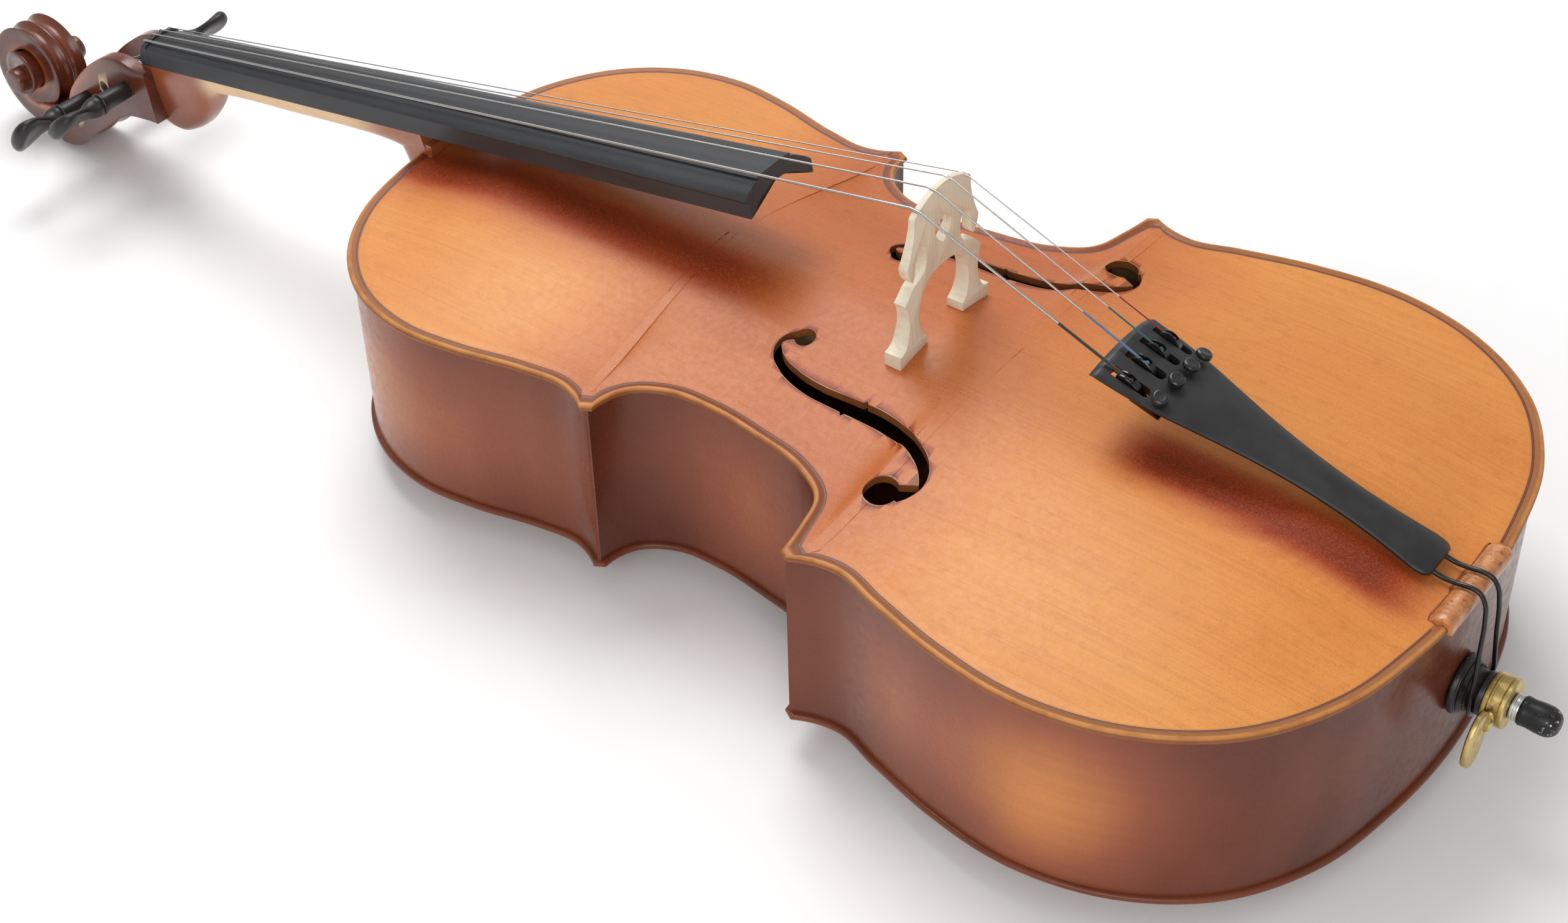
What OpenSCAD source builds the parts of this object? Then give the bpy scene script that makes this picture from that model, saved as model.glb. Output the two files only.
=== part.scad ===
// Full-size cello lying on its back, belly up, scroll towards +Y, treble side +X.
// Body lines are laid out with y = 0 at the bottom edge and z = 0 on top of the ribs.

/* [Body] */
// Length of the body along the centre line
body_len = 755; // [740:1:770]
// Height of the ribs between the plates
rib_h = 120; // [112:1:126]
// Thickness of the bent rib wood
rib_t = 1.8; // [1.4:0.1:2.4]
// How far each plate stands out past the ribs
overhang = 3; // [2:0.5:4]
// Thickness of the plates at their edge
edge_t = 4.5; // [4:0.1:5]
// Thickness of the plates inside the edge
plate_t = 5; // [4:0.1:5]
// Height of the belly arch above the ribs
belly_arch = 27; // [24:0.5:30]
// Depth of the back arch below the ribs
back_arch = 26; // [24:0.5:30]
// Distance of the purfling from the edge
purfling_in = 5.9; // [5:0.1:7]
// Width of the purfling strip
purfling_w = 1.4; // [1.2:0.1:1.8]

/* [Strings] */
// Distance of the bridge from the bottom edge
bridge_y = 353.5; // [345:0.5:360]
// Spacing of the strings on the bridge
bridge_gap = 16; // [15:0.5:16.5]
// Spacing of the strings on the nut
nut_gap = 7.6; // [7:0.1:8]

/* [Neck] */
// Angle of the neck below the line of the body
neck_angle = 10.54; // [10.3:0.01:10.8]
// Height of the fingerboard's gluing plane above the ribs at the body edge
overstand = 18.7; // [17:0.1:20]
// Length of the fingerboard from the nut to its free end
board_len = 576; // [560:1:580]
// Half width of the fingerboard at the nut
board_nut_half = 16.5; // [15:0.5:17]
// Half width of the fingerboard at its free end
board_end_half = 31; // [29:0.5:32]

/* [Pegs] */
// Radius of a peg where its head begins
peg_r_big = 7.2; // [6.8:0.1:7.6]
// Radius of a peg at its small end
peg_r_small = 5; // [4.6:0.1:5.2]
// Radial clearance of a peg in its holes
peg_clear = 0.05; // [0.03:0.01:0.1]

/* [Tailpiece] */
// Slope of the tailpiece
tail_angle = 15.3; // [15:0.1:16]
// Spacing of the four fine tuners
tuner_gap = 15; // [14:0.1:15]
// Travel of a tuner screw each way
tuner_travel = 1.5; // [1:0.1:1.6]

/* [Endpin] */
// Height of the endpin axis above the back edge of the ribs
endpin_up = 55; // [50:1:60]
// Radius of the endpin rod
rod_r = 4.5; // [4:0.1:5]
// Length of the endpin rod
rod_len = 450; // [400:5:460]
// Radius of the rubber tip
tip_r = 9; // [8:0.5:10]

/* [Hidden] */
$fn = 48;

// ---- Curves ----

// Unit vector of v
function unit(v) = v / norm(v);

// Tangent at point i of the open curve through the points k, with given end tangents or none
function inner_tangent(k, i) =
  let (a = k[i] - k[i - 1], b = k[i + 1] - k[i], la = norm(a), lb = norm(b))
  (a / la * lb + b / lb * la) / (la + lb);
function tangent(k, i, first, last) =
  i == 0 ? (is_undef(first) ? 2 * unit(k[1] - k[0]) - inner_tangent(k, 1) : first) :
  i == len(k) - 1 ? (is_undef(last) ? 2 * unit(k[i] - k[i - 1]) - inner_tangent(k, i - 1) : last) :
  inner_tangent(k, i);

// Point at fraction s of the curve's span i
function on_span(k, i, s, first, last) =
  let (h = norm(k[i + 1] - k[i]))
  (2 * s ^ 3 - 3 * s ^ 2 + 1) * k[i] + (s ^ 3 - 2 * s ^ 2 + s) * h * tangent(k, i, first, last)
  + (3 * s ^ 2 - 2 * s ^ 3) * k[i + 1] + (s ^ 3 - s ^ 2) * h * tangent(k, i + 1, first, last);

// Smooth curve through the points k with n steps in each span
function curve(k, n, first, last) =
  [for (i = [0:len(k) - 2]) for (j = [0:n - 1]) on_span(k, i, j / n, first, last), k[len(k) - 1]];

// Inward normals of an outline curve
function normals(p, first, last) = [
  for (i = [0:len(p) - 1])
    let (d = i == 0 && !is_undef(first) ? first : i == len(p) - 1 && !is_undef(last) ? last :
         p[min(i + 1, len(p) - 1)] - p[max(i - 1, 0)])
    unit([-d[1], d[0]])
];

function reverse(list) = [for (i = [len(list) - 1:-1:0]) list[i]];
function slice(list, from, to) = [for (i = [from:to]) list[i]];
// Half outline followed by its mirror image, with the points on the centre line kept once
function both_halves(list) = concat(list, reverse([for (p = list) if (p[0] > 0) [-p[0], p[1]]]));

// ---- Outline of one half of the plates, from the bottom centre to the top centre ----

LOWER_BOUT = [
  [0, 0], [60, 5], [116, 18], [168, 50], [203, 102], [215.5, 159], [210, 213], [198, 259], [189, 290],
  [196.5, 318]
];
WAIST = [
  [193, 324], [170, 328], [147, 335.5], [132, 358], [124, 394], [120, 432], [123, 461], [135, 480],
  [160.5, 487.5]
];
UPPER_BOUT = [
  [164, 494], [154.5, 516], [157, 545], [167, 590], [171, 632], [160, 677], [133, 714], [94, 739],
  [45, 751.5], [0, 755]
];
// Directions in which the corner tips move when the outline is drawn smaller
LOWER_TIP = [-1.25, -1.0];
UPPER_TIP = [-1.26, 0.81];

lower_pts = curve(LOWER_BOUT, 2, [1, 0]);
waist_pts = curve(WAIST, 2);
upper_pts = curve(UPPER_BOUT, 2, undef, [-1, 0]);
lower_nrm = normals(lower_pts, [1, 0]);
waist_nrm = normals(waist_pts);
upper_nrm = normals(upper_pts, undef, [-1, 0]);

half_pts = concat(lower_pts, waist_pts, upper_pts);
half_nrm = concat(
  slice(lower_nrm, 0, len(lower_nrm) - 2), [LOWER_TIP, LOWER_TIP],
  slice(waist_nrm, 1, len(waist_nrm) - 2), [UPPER_TIP, UPPER_TIP],
  slice(upper_nrm, 1, len(upper_nrm) - 1)
);
half_n = len(half_pts);
loop_n = 2 * half_n - 2;

// Half index of loop index i, and the side it lies on
function half_of(i) = i < half_n ? i : loop_n - i;
function side_of(i) = i < half_n ? 1 : -1;

// ---- Arching of the plates ----

SPINE_MID = 377;
SPINE_HALF = 270;
LONG_DROP = 6;
CHANNEL = 12;
CHANNEL_Z = 4.6;
FLUTE_Z = 4;

// Half width of the plates at height y of the body
function half_width(y) = lookup(y, [for (p = half_pts) [p[1], p[0]]]);
// Point of the centre line that a point at height y is drawn towards
function spine_y(y) = SPINE_MID + SPINE_HALF * sin(90 * (y - SPINE_MID) / 378);
// Height of the arch on the centre line
function crown(y, top) = top - LONG_DROP * ((y - SPINE_MID) / SPINE_HALF) ^ 2;
// Height of the arch at fraction f from the channel to the centre line
function arch_at(f, y, top) =
  CHANNEL_Z + (crown(y, top) - CHANNEL_Z) * (1 - cos(180 * max(f, 0) ^ 0.8)) / 2;
// Height of the belly's outside at x, y
function belly_z(x, y) = arch_at(1 - abs(x) / (half_width(y) - CHANNEL), y, belly_arch);

// Point of a ring that lies the distance d inside the outline
function inset(i, d, z) =
  let (h = half_of(i), p = half_pts[h] + half_nrm[h] * d) [side_of(i) * p[0], p[1], z];
// Point of a ring at fraction f from the channel to the centre line
function arched(i, f, top, below) =
  let (p = inset(i, CHANNEL, 0), s = spine_y(p[1]))
  [p[0] * (1 - f), p[1] * (1 - f) + s * f, arch_at(f, s, top) - below];

// Quads between rings a and b of n points each, as one strip round the loop
function strip(a, b, n) = [for (i = [0:n - 1]) [a * n + i, b * n + i, b * n + (i + 1) % n, a * n + (i + 1) % n]];

// Solid through sections of equal length; flip when they run anticlockwise seen from before the first
module loft(sections, flip = false) {
  n = len(sections[0]);
  last = (len(sections) - 1) * n;
  faces = concat([for (r = [0:len(sections) - 2]) each strip(r, r + 1, n)],
    [[for (i = [0:n - 1]) i], [for (i = [n - 1:-1:0]) last + i]]);
  polyhedron([for (s = sections) each s], flip ? [for (f = faces) reverse(f)] : faces, convexity = 4);
}

// A plate with a groove for its purfling, its gluing face on z = 0
module plate(top) {
  groove = edge_t - 1.7;
  rings = concat(
    [for (f = [0.55, 0.2]) [for (i = [0:loop_n - 1]) arched(i, f, top, plate_t)]],
    [for (r = [[CHANNEL, 0], [1, 0], [0, 2.2], [1.6, edge_t], [purfling_in, FLUTE_Z],
               [purfling_in, groove], [purfling_in + purfling_w, groove],
               [purfling_in + purfling_w, FLUTE_Z], [CHANNEL, CHANNEL_Z]])
      [for (i = [0:loop_n - 1]) inset(i, r[0], r[1])]],
    [for (f = [0.2, 0.42, 0.7]) [for (i = [0:loop_n - 1]) arched(i, f, top, 0)]]
  );
  spine = [for (below = [plate_t, 0]) for (h = [0:half_n - 1]) arched(h, 1, top, below)];
  rings_n = len(rings);
  under = rings_n * loop_n;
  over = under + half_n;
  last = (rings_n - 1) * loop_n;
  points = concat([for (r = rings) each r], [for (p = spine) [0, p[1], p[2]]]);
  faces = concat(
    [for (r = [0:rings_n - 2]) each strip(r, r + 1, loop_n)],
    [for (i = [0:loop_n - 1])
      let (j = (i + 1) % loop_n) [i, j, under + half_of(j), under + half_of(i)]],
    [for (i = [0:loop_n - 1])
      let (j = (i + 1) % loop_n) [last + j, last + i, over + half_of(i), over + half_of(j)]]
  );
  polyhedron(points, faces, convexity = 6);
}

// The strip let into a plate's groove
module purfling_strip() {
  gap = 0.05;
  deep = edge_t - 1.7 + gap;
  outer = purfling_in + gap;
  inner = purfling_in + purfling_w - gap;
  rings = [for (r = [[outer, deep], [outer, FLUTE_Z], [inner, FLUTE_Z], [inner, deep]])
    [for (i = [0:loop_n - 1]) inset(i, r[0], r[1])]];
  polyhedron([for (r = rings) each r], [for (r = [0:3]) each
    [for (i = [0:loop_n - 1])
      let (a = r * loop_n, b = (r + 1) % 4 * loop_n, j = (i + 1) % loop_n) [a + i, b + i, b + j, a + j]]],
    convexity = 6);
}

// ---- F-holes ----

F_OUTER = [
  [-47, 420], [-54, 426], [-61, 427], [-68, 424], [-76, 413], [-83, 392], [-85, 368], [-86, 350],
  [-89, 328], [-96, 308], [-106, 293], [-114, 287]
];
F_INNER = [
  [-130, 291], [-124, 287], [-114, 284.5], [-104, 287], [-95, 294], [-86, 308], [-79, 322], [-75, 338],
  [-74, 360], [-74, 385], [-71, 404], [-64, 420], [-59, 424], [-53, 417]
];
F_WING = [-119, 296.5];
UPPER_EYE = [-49.5, 414];
LOWER_EYE = [-127.5, 303];
UPPER_EYE_R = 6.5;
LOWER_EYE_R = 10.5;
NICKS = [[-85.6, 361, 1.6], [-73.9, 352, 1.6]];

module f_hole() {
  translate(UPPER_EYE) circle(UPPER_EYE_R);
  translate(LOWER_EYE) circle(LOWER_EYE_R);
  polygon(concat(curve(F_OUTER, 2), [F_WING, LOWER_EYE], curve(F_INNER, 2)));
  for (n = NICKS)
    translate([n[0], n[1]]) circle(n[2], $fn = 4);
}

// ---- Spiral of the scroll ----

EYE = [1186, -94];
EYE_HALF = 33;
EYE_R = 9;
SCROLL_R = 43.5;
SCROLL_HALF = [[0, 17.5], [0.5, 14.5], [0.9, 15.5], [1.4, 21], [2, 28], [2.3, 31]];
TURN_STEPS = 24;
// Radius of the scroll's spiral after t turns, counted from below its eye
function scroll_r(t) = SCROLL_R * exp(-0.275 * t - 0.17 * t * t);
function scroll_point(t) = EYE + scroll_r(t) * [cos(360 * t - 100), sin(360 * t - 100)];

// ---- Placing ----

head_reach = max([for (i = [0:TURN_STEPS]) scroll_point(i / TURN_STEPS)[0]]);
tip_end = -57;
mid_y = (head_reach + tip_end) / 2;
rest_z = rib_h + back_arch;

// Moves from the body's own lines to the part's frame
module place() {
  translate([0, -mid_y, rest_z]) children();
}
// Frame of the neck: y along the neck from the body edge, z up from the fingerboard's gluing plane
module on_neck() {
  place() translate([0, body_len, overstand]) rotate([-neck_angle, 0, 0]) children();
}
// Frame of the tailpiece: y towards the bridge from its front edge, z up from its crown
TAIL_FRONT = [229, 72.6];
module on_tail() {
  place() translate([0, TAIL_FRONT[0], TAIL_FRONT[1]]) rotate([tail_angle, 0, 0]) children();
}
// Side profile in the y-z plane made w wide across x
module across(w) {
  rotate([90, 0, 90]) linear_extrude(w, center = true) children();
}
// Cross-section in the x-z plane, running from y = 0 to y = -len
module along(len) {
  rotate([90, 0, 0]) linear_extrude(len) children();
}
// Turned shape on the y axis, drawn as radius over y
module turned(points) {
  rotate([-90, 0, 0]) rotate_extrude($fn = 64) polygon(points);
}

// ---- Plates and what is glued in them ----

root_half = 22;
root_y = 743.5;
saddle_half = 37;
saddle_in = 14;
button_r = 17;
button_out = 19;

module belly() color("sienna") place() difference() {
  plate(belly_arch);
  for (s = [0, 1]) mirror([s, 0, 0])
    translate([0, 0, -5]) linear_extrude(60) f_hole();
  translate([-root_half - 0.1, root_y - 0.1, -1]) cube([2 * root_half + 0.2, 30, 20]);
  translate([-saddle_half - 0.1, -10, -1]) cube([2 * saddle_half + 0.2, saddle_in + 10.1, 20]);
}

module back_plate() color("saddlebrown") place() translate([0, 0, -rib_h]) mirror([0, 0, 1]) {
  plate(back_arch);
  intersection() {
    translate([0, body_len + button_out - button_r, 0]) cylinder(r = button_r, h = edge_t);
    translate([-30, body_len - 0.6, 0]) cube([60, 40, edge_t]);
  }
  translate([-button_r, body_len - 2, 0]) cube([2 * button_r, button_out - button_r + 2, edge_t]);
}

module belly_purfling() color("black") place() difference() {
  purfling_strip();
  translate([-root_half - 0.1, root_y - 3, -1]) cube([2 * root_half + 0.2, 30, 20]);
  translate([-saddle_half - 0.1, -10, -1]) cube([2 * saddle_half + 0.2, saddle_in + 10.1, 20]);
}
module back_purfling() color("black") place() translate([0, 0, -rib_h]) mirror([0, 0, 1]) purfling_strip();

bar_x = -30.5;
bar_w = 11;
bar_steps = [for (y = [92:24:668]) y];
// Top edge and depth of the bass bar at height y of the body
function bar_top(y) = belly_z(abs(bar_x) + bar_w / 2, y) - plate_t - 2.2;
function bar_deep(y) = 8 + 17 * (1 - ((y - 380) / 290) ^ 2);
module bass_bar() color("burlywood") place() translate([bar_x, 0, 0]) across(bar_w)
  polygon(concat([for (y = bar_steps) [y, bar_top(y)]],
    reverse([for (y = bar_steps) [y, bar_top(y) - bar_deep(y)]])));

post_r = 5.5;
post_pos = [24, 338];
post_top = belly_z(post_pos[0] + post_r, post_pos[1]) - plate_t - 1.9;
post_f = 1 - (post_pos[0] + post_r) / (half_width(post_pos[1]) - CHANNEL);
post_bottom = -rib_h - arch_at(post_f, post_pos[1], back_arch) + plate_t + 1.9;
module sound_post() color("burlywood") place()
  translate([post_pos[0], post_pos[1], post_bottom]) cylinder(r = post_r, h = post_top - post_bottom);

// ---- Ribs, linings and blocks ----

// Band between two distances inside an outline curve
module band(pts, nrm, near, far, from, to) {
  polygon(concat([for (i = [from:to]) pts[i] + nrm[i] * near],
    reverse([for (i = [from:to]) pts[i] + nrm[i] * far])));
}
module wall(pts, nrm, side) {
  translate([0, 0, -rib_h]) mirror([side < 0 ? 1 : 0, 0, 0])
    linear_extrude(rib_h) band(pts, nrm, overhang, overhang + rib_t, 0, len(pts) - 1);
}

plug_r = 13;
endpin_z = -rib_h + endpin_up;
module plug_hole() {
  translate([0, -5, endpin_z]) rotate([-90, 0, 0]) cylinder(r = plug_r + 0.05, h = 60);
}
module neck_root_space() {
  translate([-root_half - 0.1, root_y - 0.1, -rib_h - 1]) cube([2 * root_half + 0.2, 30, rib_h + 40]);
}

module rib_upper(side) place() difference() {
  wall(upper_pts, upper_nrm, side);
  neck_root_space();
}
module rib_lower(side) place() difference() {
  wall(lower_pts, lower_nrm, side);
  plug_hole();
}
module rib_waist(side) place() difference() {
  wall(waist_pts, waist_nrm, side);
  mirror([side < 0 ? 1 : 0, 0, 0]) {
    translate([191.6, 300, -rib_h - 1]) cube([20, 30, rib_h + 2]);
    translate([158, 484, -rib_h - 1]) cube([20, 20, rib_h + 2]);
  }
}
module rib_upper_bass() color("brown") rib_upper(-1);
module rib_upper_treble() color("brown") rib_upper(1);
module rib_waist_bass() color("brown") rib_waist(-1);
module rib_waist_treble() color("brown") rib_waist(1);
module rib_lower_bass() color("brown") rib_lower(-1);
module rib_lower_treble() color("brown") rib_lower(1);

lining_t = 2.2;
lining_h = 14;
inside = overhang + rib_t + 0.05;
// Linings run between the blocks, from point to point of each curve
LOWER_RUN = [3, 15];
WAIST_RUN = [4, 13];
UPPER_RUN = [4, 14];
module linings(z) {
  for (s = [0, 1]) mirror([s, 0, 0]) translate([0, 0, z]) {
    linear_extrude(lining_h)
      band(lower_pts, lower_nrm, inside, inside + lining_t, LOWER_RUN[0], LOWER_RUN[1]);
    linear_extrude(lining_h)
      band(waist_pts, waist_nrm, inside, inside + lining_t, WAIST_RUN[0], WAIST_RUN[1]);
    linear_extrude(lining_h)
      band(upper_pts, upper_nrm, inside, inside + lining_t, UPPER_RUN[0], UPPER_RUN[1]);
  }
}
module belly_linings() color("tan") place() linings(-lining_h - 0.05);
module back_linings() color("tan") place() linings(-rib_h + 0.05);

block_half = 39;
module top_block() color("tan") place() difference() {
  translate([0, 0, -rib_h + 0.05]) linear_extrude(rib_h - 0.1) intersection() {
    polygon(concat([for (i = [0:4]) (upper_pts[18 - i] + upper_nrm[18 - i] * inside)],
      reverse([for (i = [0:4]) let (p = upper_pts[18 - i] + upper_nrm[18 - i] * inside) [-p[0], p[1]]])));
    translate([-block_half, 724]) square([2 * block_half, 40]);
  }
  neck_root_space();
}
module bottom_block() color("tan") place() difference() {
  translate([0, 0, -rib_h + 0.05]) linear_extrude(rib_h - 0.1) intersection() {
    polygon(concat([for (i = [0:4]) (lower_pts[i] + lower_nrm[i] * inside)], [[120, 60], [-120, 60]],
      reverse([for (i = [0:4]) let (p = lower_pts[i] + lower_nrm[i] * inside) [-p[0], p[1]]])));
    translate([-block_half, 0]) square([2 * block_half, 28]);
  }
  plug_hole();
}
module corner_blocks() color("tan") place() for (s = [0, 1]) mirror([s, 0, 0])
  translate([0, 0, -rib_h + 0.05]) linear_extrude(rib_h - 0.1) {
    polygon(concat([for (i = [16, 17]) lower_pts[i] + lower_nrm[i] * inside],
      [for (i = [1:3]) waist_pts[i] + waist_nrm[i] * inside]));
    polygon(concat([for (i = [3:-1:1]) upper_pts[i] + upper_nrm[i] * inside],
      [for (i = [15:-1:13]) waist_pts[i] + waist_nrm[i] * inside]));
  }

// ---- Neck and scroll ----

// Half width of the fingerboard at distance u along the neck
nut_u = 282.7;
board_end_u = nut_u - board_len;
function board_half(u) =
  board_end_half + (board_nut_half - board_end_half) * (u - board_end_u) / board_len;

// Depth of the neck below the gluing plane: distance along the neck, depth, how square the section is
NECK_DEPTH = [
  [-4, 30, 0.9], [14, 27, 0.9], [30, 20, 0.8], [46, 16, 0.7], [66, 13.8, 0.6], [130, 13, 0.6],
  [208, 13, 0.6], [222, 14.4, 0.6], [230, 18.5, 0.62], [236, 27, 0.68], [243, 37, 0.72], [254, 47, 0.76],
  [270, 55, 0.8], [286, 58.6, 0.8], [294.7, 56, 0.8]
];
NECK_SIDES = 16;
// Section of the neck at one station, from the bass edge round below to the treble edge
function neck_section(s) = [
  for (i = [0:NECK_SIDES])
    let (a = 180 * i / NECK_SIDES, half = board_half(s[0]) - 0.2)
    [-half * sign(cos(a)) * abs(cos(a)) ^ s[2], s[0], -0.05 - s[1] * sin(a) ^ s[2]]
];

// Heel: slices from the gluing plane down to the back, each [z, half width, how far it stands out]
HEEL = [
  [12, 22, 46], [2, 22, 36], [-10, 21.8, 27], [-28, 21, 20], [-55, 19.5, 16], [-85, 18, 15],
  [-105, 17, 17], [-119.9, 16.4, 19.5]
];
HEEL_SIDES = 12;
function heel_section(h) = concat(
  [[h[1], root_y, h[0]]],
  [for (i = [0:HEEL_SIDES]) let (a = 180 * i / HEEL_SIDES)
    [h[1] * cos(a), body_len - 3 + (h[2] + 3) * sin(a) ^ 0.8, h[0]]],
  [[-h[1], root_y, h[0]]]
);

PEGBOX_TOP = [
  [1034, -41], [1046, -35.5], [1059, -33.3], [1074.5, -36.2], [1094.6, -48.8], [1114.4, -66], [1129, -83],
  [1142, -104]
];
PEGBOX_BACK = [
  [1029, -77], [1046, -78], [1064, -82], [1089, -101], [1109, -116], [1124, -131], [1141, -140.5],
  [1160, -142]
];
PEGBOX_FLOOR = [
  [1142.4, -112], [1131, -121], [1112, -105], [1096, -92], [1080, -79], [1064, -69], [1046.4, -65]
];
// Half width over the cheeks along the head
CHEEKS = [[1020, 26], [1060, 26], [1090, 24.4], [1120, 22.6], [1150, 21], [1240, 19]];
cavity_half = 14.5;
function cheek(y) = lookup(y, CHEEKS);

// Half width of the scroll where its spiral has made t turns
function scroll_half(t) = lookup(t, SCROLL_HALF);

module pegbox() intersection() {
  across(60) polygon(concat(PEGBOX_TOP, [for (i = [19:-1:0]) scroll_point(i / TURN_STEPS)], reverse(PEGBOX_BACK)));
  translate([0, 0, -160]) linear_extrude(140)
    polygon(both_halves([for (i = [0:len(CHEEKS) - 1]) [CHEEKS[i][1], CHEEKS[i][0]]]));
}
module scroll_steps() {
  for (t = [0.125:0.25:1.875])
    across(2 * scroll_half(t + 0.125)) polygon([for (i = [0:TURN_STEPS]) scroll_point(t + i / TURN_STEPS)]);
  translate([0, EYE[0], EYE[1]]) rotate([0, 90, 0]) cylinder(r = EYE_R, h = 2 * EYE_HALF, center = true);
}

// Peg positions: [y, z, side of the head]; pegs in the order c, g, d, a
PEGS = [[1056, -56, -1], [1107.6, -84, -1], [1129, -107, 1], [1083.4, -65.2, 1]];
head_x = 52;
small_x = 26;
// Radius of a peg's shaft at distance x from the centre line, positive towards its head
function peg_r(x) = peg_r_small + (peg_r_big - peg_r_small) * (x + small_x) / (head_x + small_x);
module peg_cone(x0, x1, extra) {
  translate([x0, 0, 0]) rotate([0, 90, 0])
    cylinder(r1 = peg_r(x0) + extra, r2 = peg_r(x1) + extra, h = x1 - x0, $fn = 48);
}
module at_peg(i) {
  place() translate([0, PEGS[i][0], PEGS[i][1]]) mirror([PEGS[i][2] < 0 ? 1 : 0, 0, 0]) children();
}

module neck() color("sienna") difference() {
  union() {
    on_neck() loft([for (s = NECK_DEPTH) neck_section(s)], true);
    place() {
      intersection() {
        loft([for (h = HEEL) heel_section(h)], true);
        across(60) polygon([[700, -200], [700, overstand + 55 * tan(neck_angle) - 0.05],
          [900, overstand - 145 * tan(neck_angle) - 0.05], [900, -200]]);
      }
      pegbox();
      scroll_steps();
    }
  }
  place() across(2 * cavity_half) polygon(concat([[1046.4, 0], [1142.4, 0]], PEGBOX_FLOOR));
  for (i = [0:3]) at_peg(i) peg_cone(-30, 40, peg_clear);
}

// ---- Fingerboard and nut ----

// Upper edge of the fingerboard's section, as shares of the half width and heights over the edge
BOARD_TOP_END = [[-1, 10], [-0.6, 20.5], [-0.3, 22.8], [0.05, 23], [0.4, 20.6], [0.72, 15.6], [1, 9]];
BOARD_TOP_NUT = [[-1, 13.4], [-0.6, 16.4], [-0.3, 17.5], [0.05, 17.7], [0.4, 17.1], [0.72, 15.7], [1, 13.4]];
BOARD_UNDER = [[0.86, 0.1], [0.45, 0.72], [0.1, 1], [-0.3, 1], [-0.65, 0.66], [-0.88, 0.1]];
HOLLOW = 12.5;
// Stations along the fingerboard: share of its length from the free end, share of the full hollow
BOARD_STATIONS = [[0, 1], [0.22, 1], [0.42, 0.85], [0.47, 0.02], [0.75, 0.02], [1, 0.02]];
function board_section(st) =
  let (k = st[0], u = board_end_u + k * board_len, half = board_half(u))
  concat(
    [[-half, u, 0]],
    [for (i = [0:len(BOARD_TOP_END) - 1]) let (p = BOARD_TOP_END[i] * (1 - k) + BOARD_TOP_NUT[i] * k)
      [p[0] * half, u, p[1]]],
    [[half, u, 0]],
    [for (p = BOARD_UNDER) [p[0] * half, u, p[1] * HOLLOW * st[1]]]
  );
module fingerboard() color("dimgray") on_neck() loft([for (s = BOARD_STATIONS) board_section(s)]);

NUT_SIDE = [
  [nut_u + 0.1, 0], [nut_u + 0.1, 21], [nut_u + 2.2, 21], [nut_u + 4, 17.2], [nut_u + 6.5, 12.6],
  [nut_u + 9.5, 5], [nut_u + 10, 0]
];
module nut() color("dimgray") on_neck() intersection() {
  across(2 * board_nut_half) polygon(NUT_SIDE);
  translate([0, nut_u + 20, 0]) along(40)
    polygon(concat([[-board_nut_half, 0]],
      [for (p = BOARD_TOP_NUT) [p[0] * board_nut_half, p[1] + 1.5]], [[board_nut_half, 0]]));
}

// ---- Saddle and bridge ----

SADDLE_SIDE = [
  [-0.5, 0.05], [-0.5, 3], [1, 7], [4, 9], [8, 8.6], [12, 6.4], [saddle_in, 4.6], [saddle_in, 0.05]
];
CORD_X = 7.5;
cord_r = 1.4;
module saddle() color("peru") place() difference() {
  across(2 * saddle_half) polygon(SADDLE_SIDE);
  for (s = [-1, 1]) translate([s * CORD_X, 0, 10.2]) rotate([-90, 0, 0])
    cylinder(r = cord_r + 1.6, h = 60, center = true);
}

// Right half of the bridge from its top corner down to the foot, as x and height over the ribs
BRIDGE_SIDE = [
  [28.3, 116], [29, 106], [31.7, 97], [36, 86.5], [34.4, 81.5], [31, 75.6], [29.2, 78.6], [28.4, 84],
  [27.6, 90], [25.6, 95], [22.6, 97], [19.6, 95], [17.6, 90], [17.2, 84], [18.6, 79], [22, 75.6]
];
BRIDGE_LEG = [
  [27, 73.4], [31, 71.6], [33, 69], [39, 63.5], [36.4, 58], [35, 50], [36.6, 40], [39.6, 33.5], [45.6, 31.2]
];
BRIDGE_ARCH = [
  [18.6, 31.6], [22, 35], [24.8, 41], [25.5, 48], [24.6, 56], [20.4, 64.5], [12.5, 70.6], [5, 72.4], [0, 72.6]
];
HEART = [[0, 87], [4.6, 91], [8, 96.6], [7.6, 100.2], [4.6, 101.6], [2.4, 100], [3, 103.6], [0, 106.4]];
STRING_Z = [120.5, 126.3, 125.6, 119.4];
bridge_top_z = 126.8;
bridge_foot_t = 11.6;
bridge_top_t = 3;
bridge_gap_under = 0.15;
foot_outer = 45.4;
foot_inner = 18.4;

// Height of the bridge's crowned top at x
function bridge_crown(x) = bridge_top_z - 0.0116 * x * x;
// String positions across the bridge, from bass to treble
function bridge_x(i) = (i - 1.5) * bridge_gap;
function foot_line(xs) = [for (x = xs) [x, belly_z(x, bridge_y) + bridge_gap_under]];
BRIDGE_BODY = concat(BRIDGE_SIDE, BRIDGE_LEG,
  foot_line([foot_outer, 39, 32, 25, foot_inner]), BRIDGE_ARCH);

module bridge_outline() {
  difference() {
    polygon(both_halves(concat([for (x = [0:4:24]) [x, bridge_crown(x)]], BRIDGE_BODY)));
    polygon(both_halves(HEART));
    for (i = [0:3]) translate([bridge_x(i), STRING_Z[i] + 0.6]) circle(1.5, $fn = 16);
  }
}
module bridge() color("wheat") place() intersection() {
  translate([0, bridge_y + 10, 0]) along(20) bridge_outline();
  across(120) polygon([
    [bridge_y - bridge_foot_t / 2, 0], [bridge_y + bridge_foot_t / 2, 0],
    [bridge_y + bridge_foot_t / 2, 32], [bridge_y + bridge_top_t / 2, bridge_top_z + 5],
    [bridge_y - bridge_top_t / 2, bridge_top_z + 5], [bridge_y - bridge_foot_t / 2, 32]
  ]);
}

// ---- Pegs ----

HEAD_LEN = 43;
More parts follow.
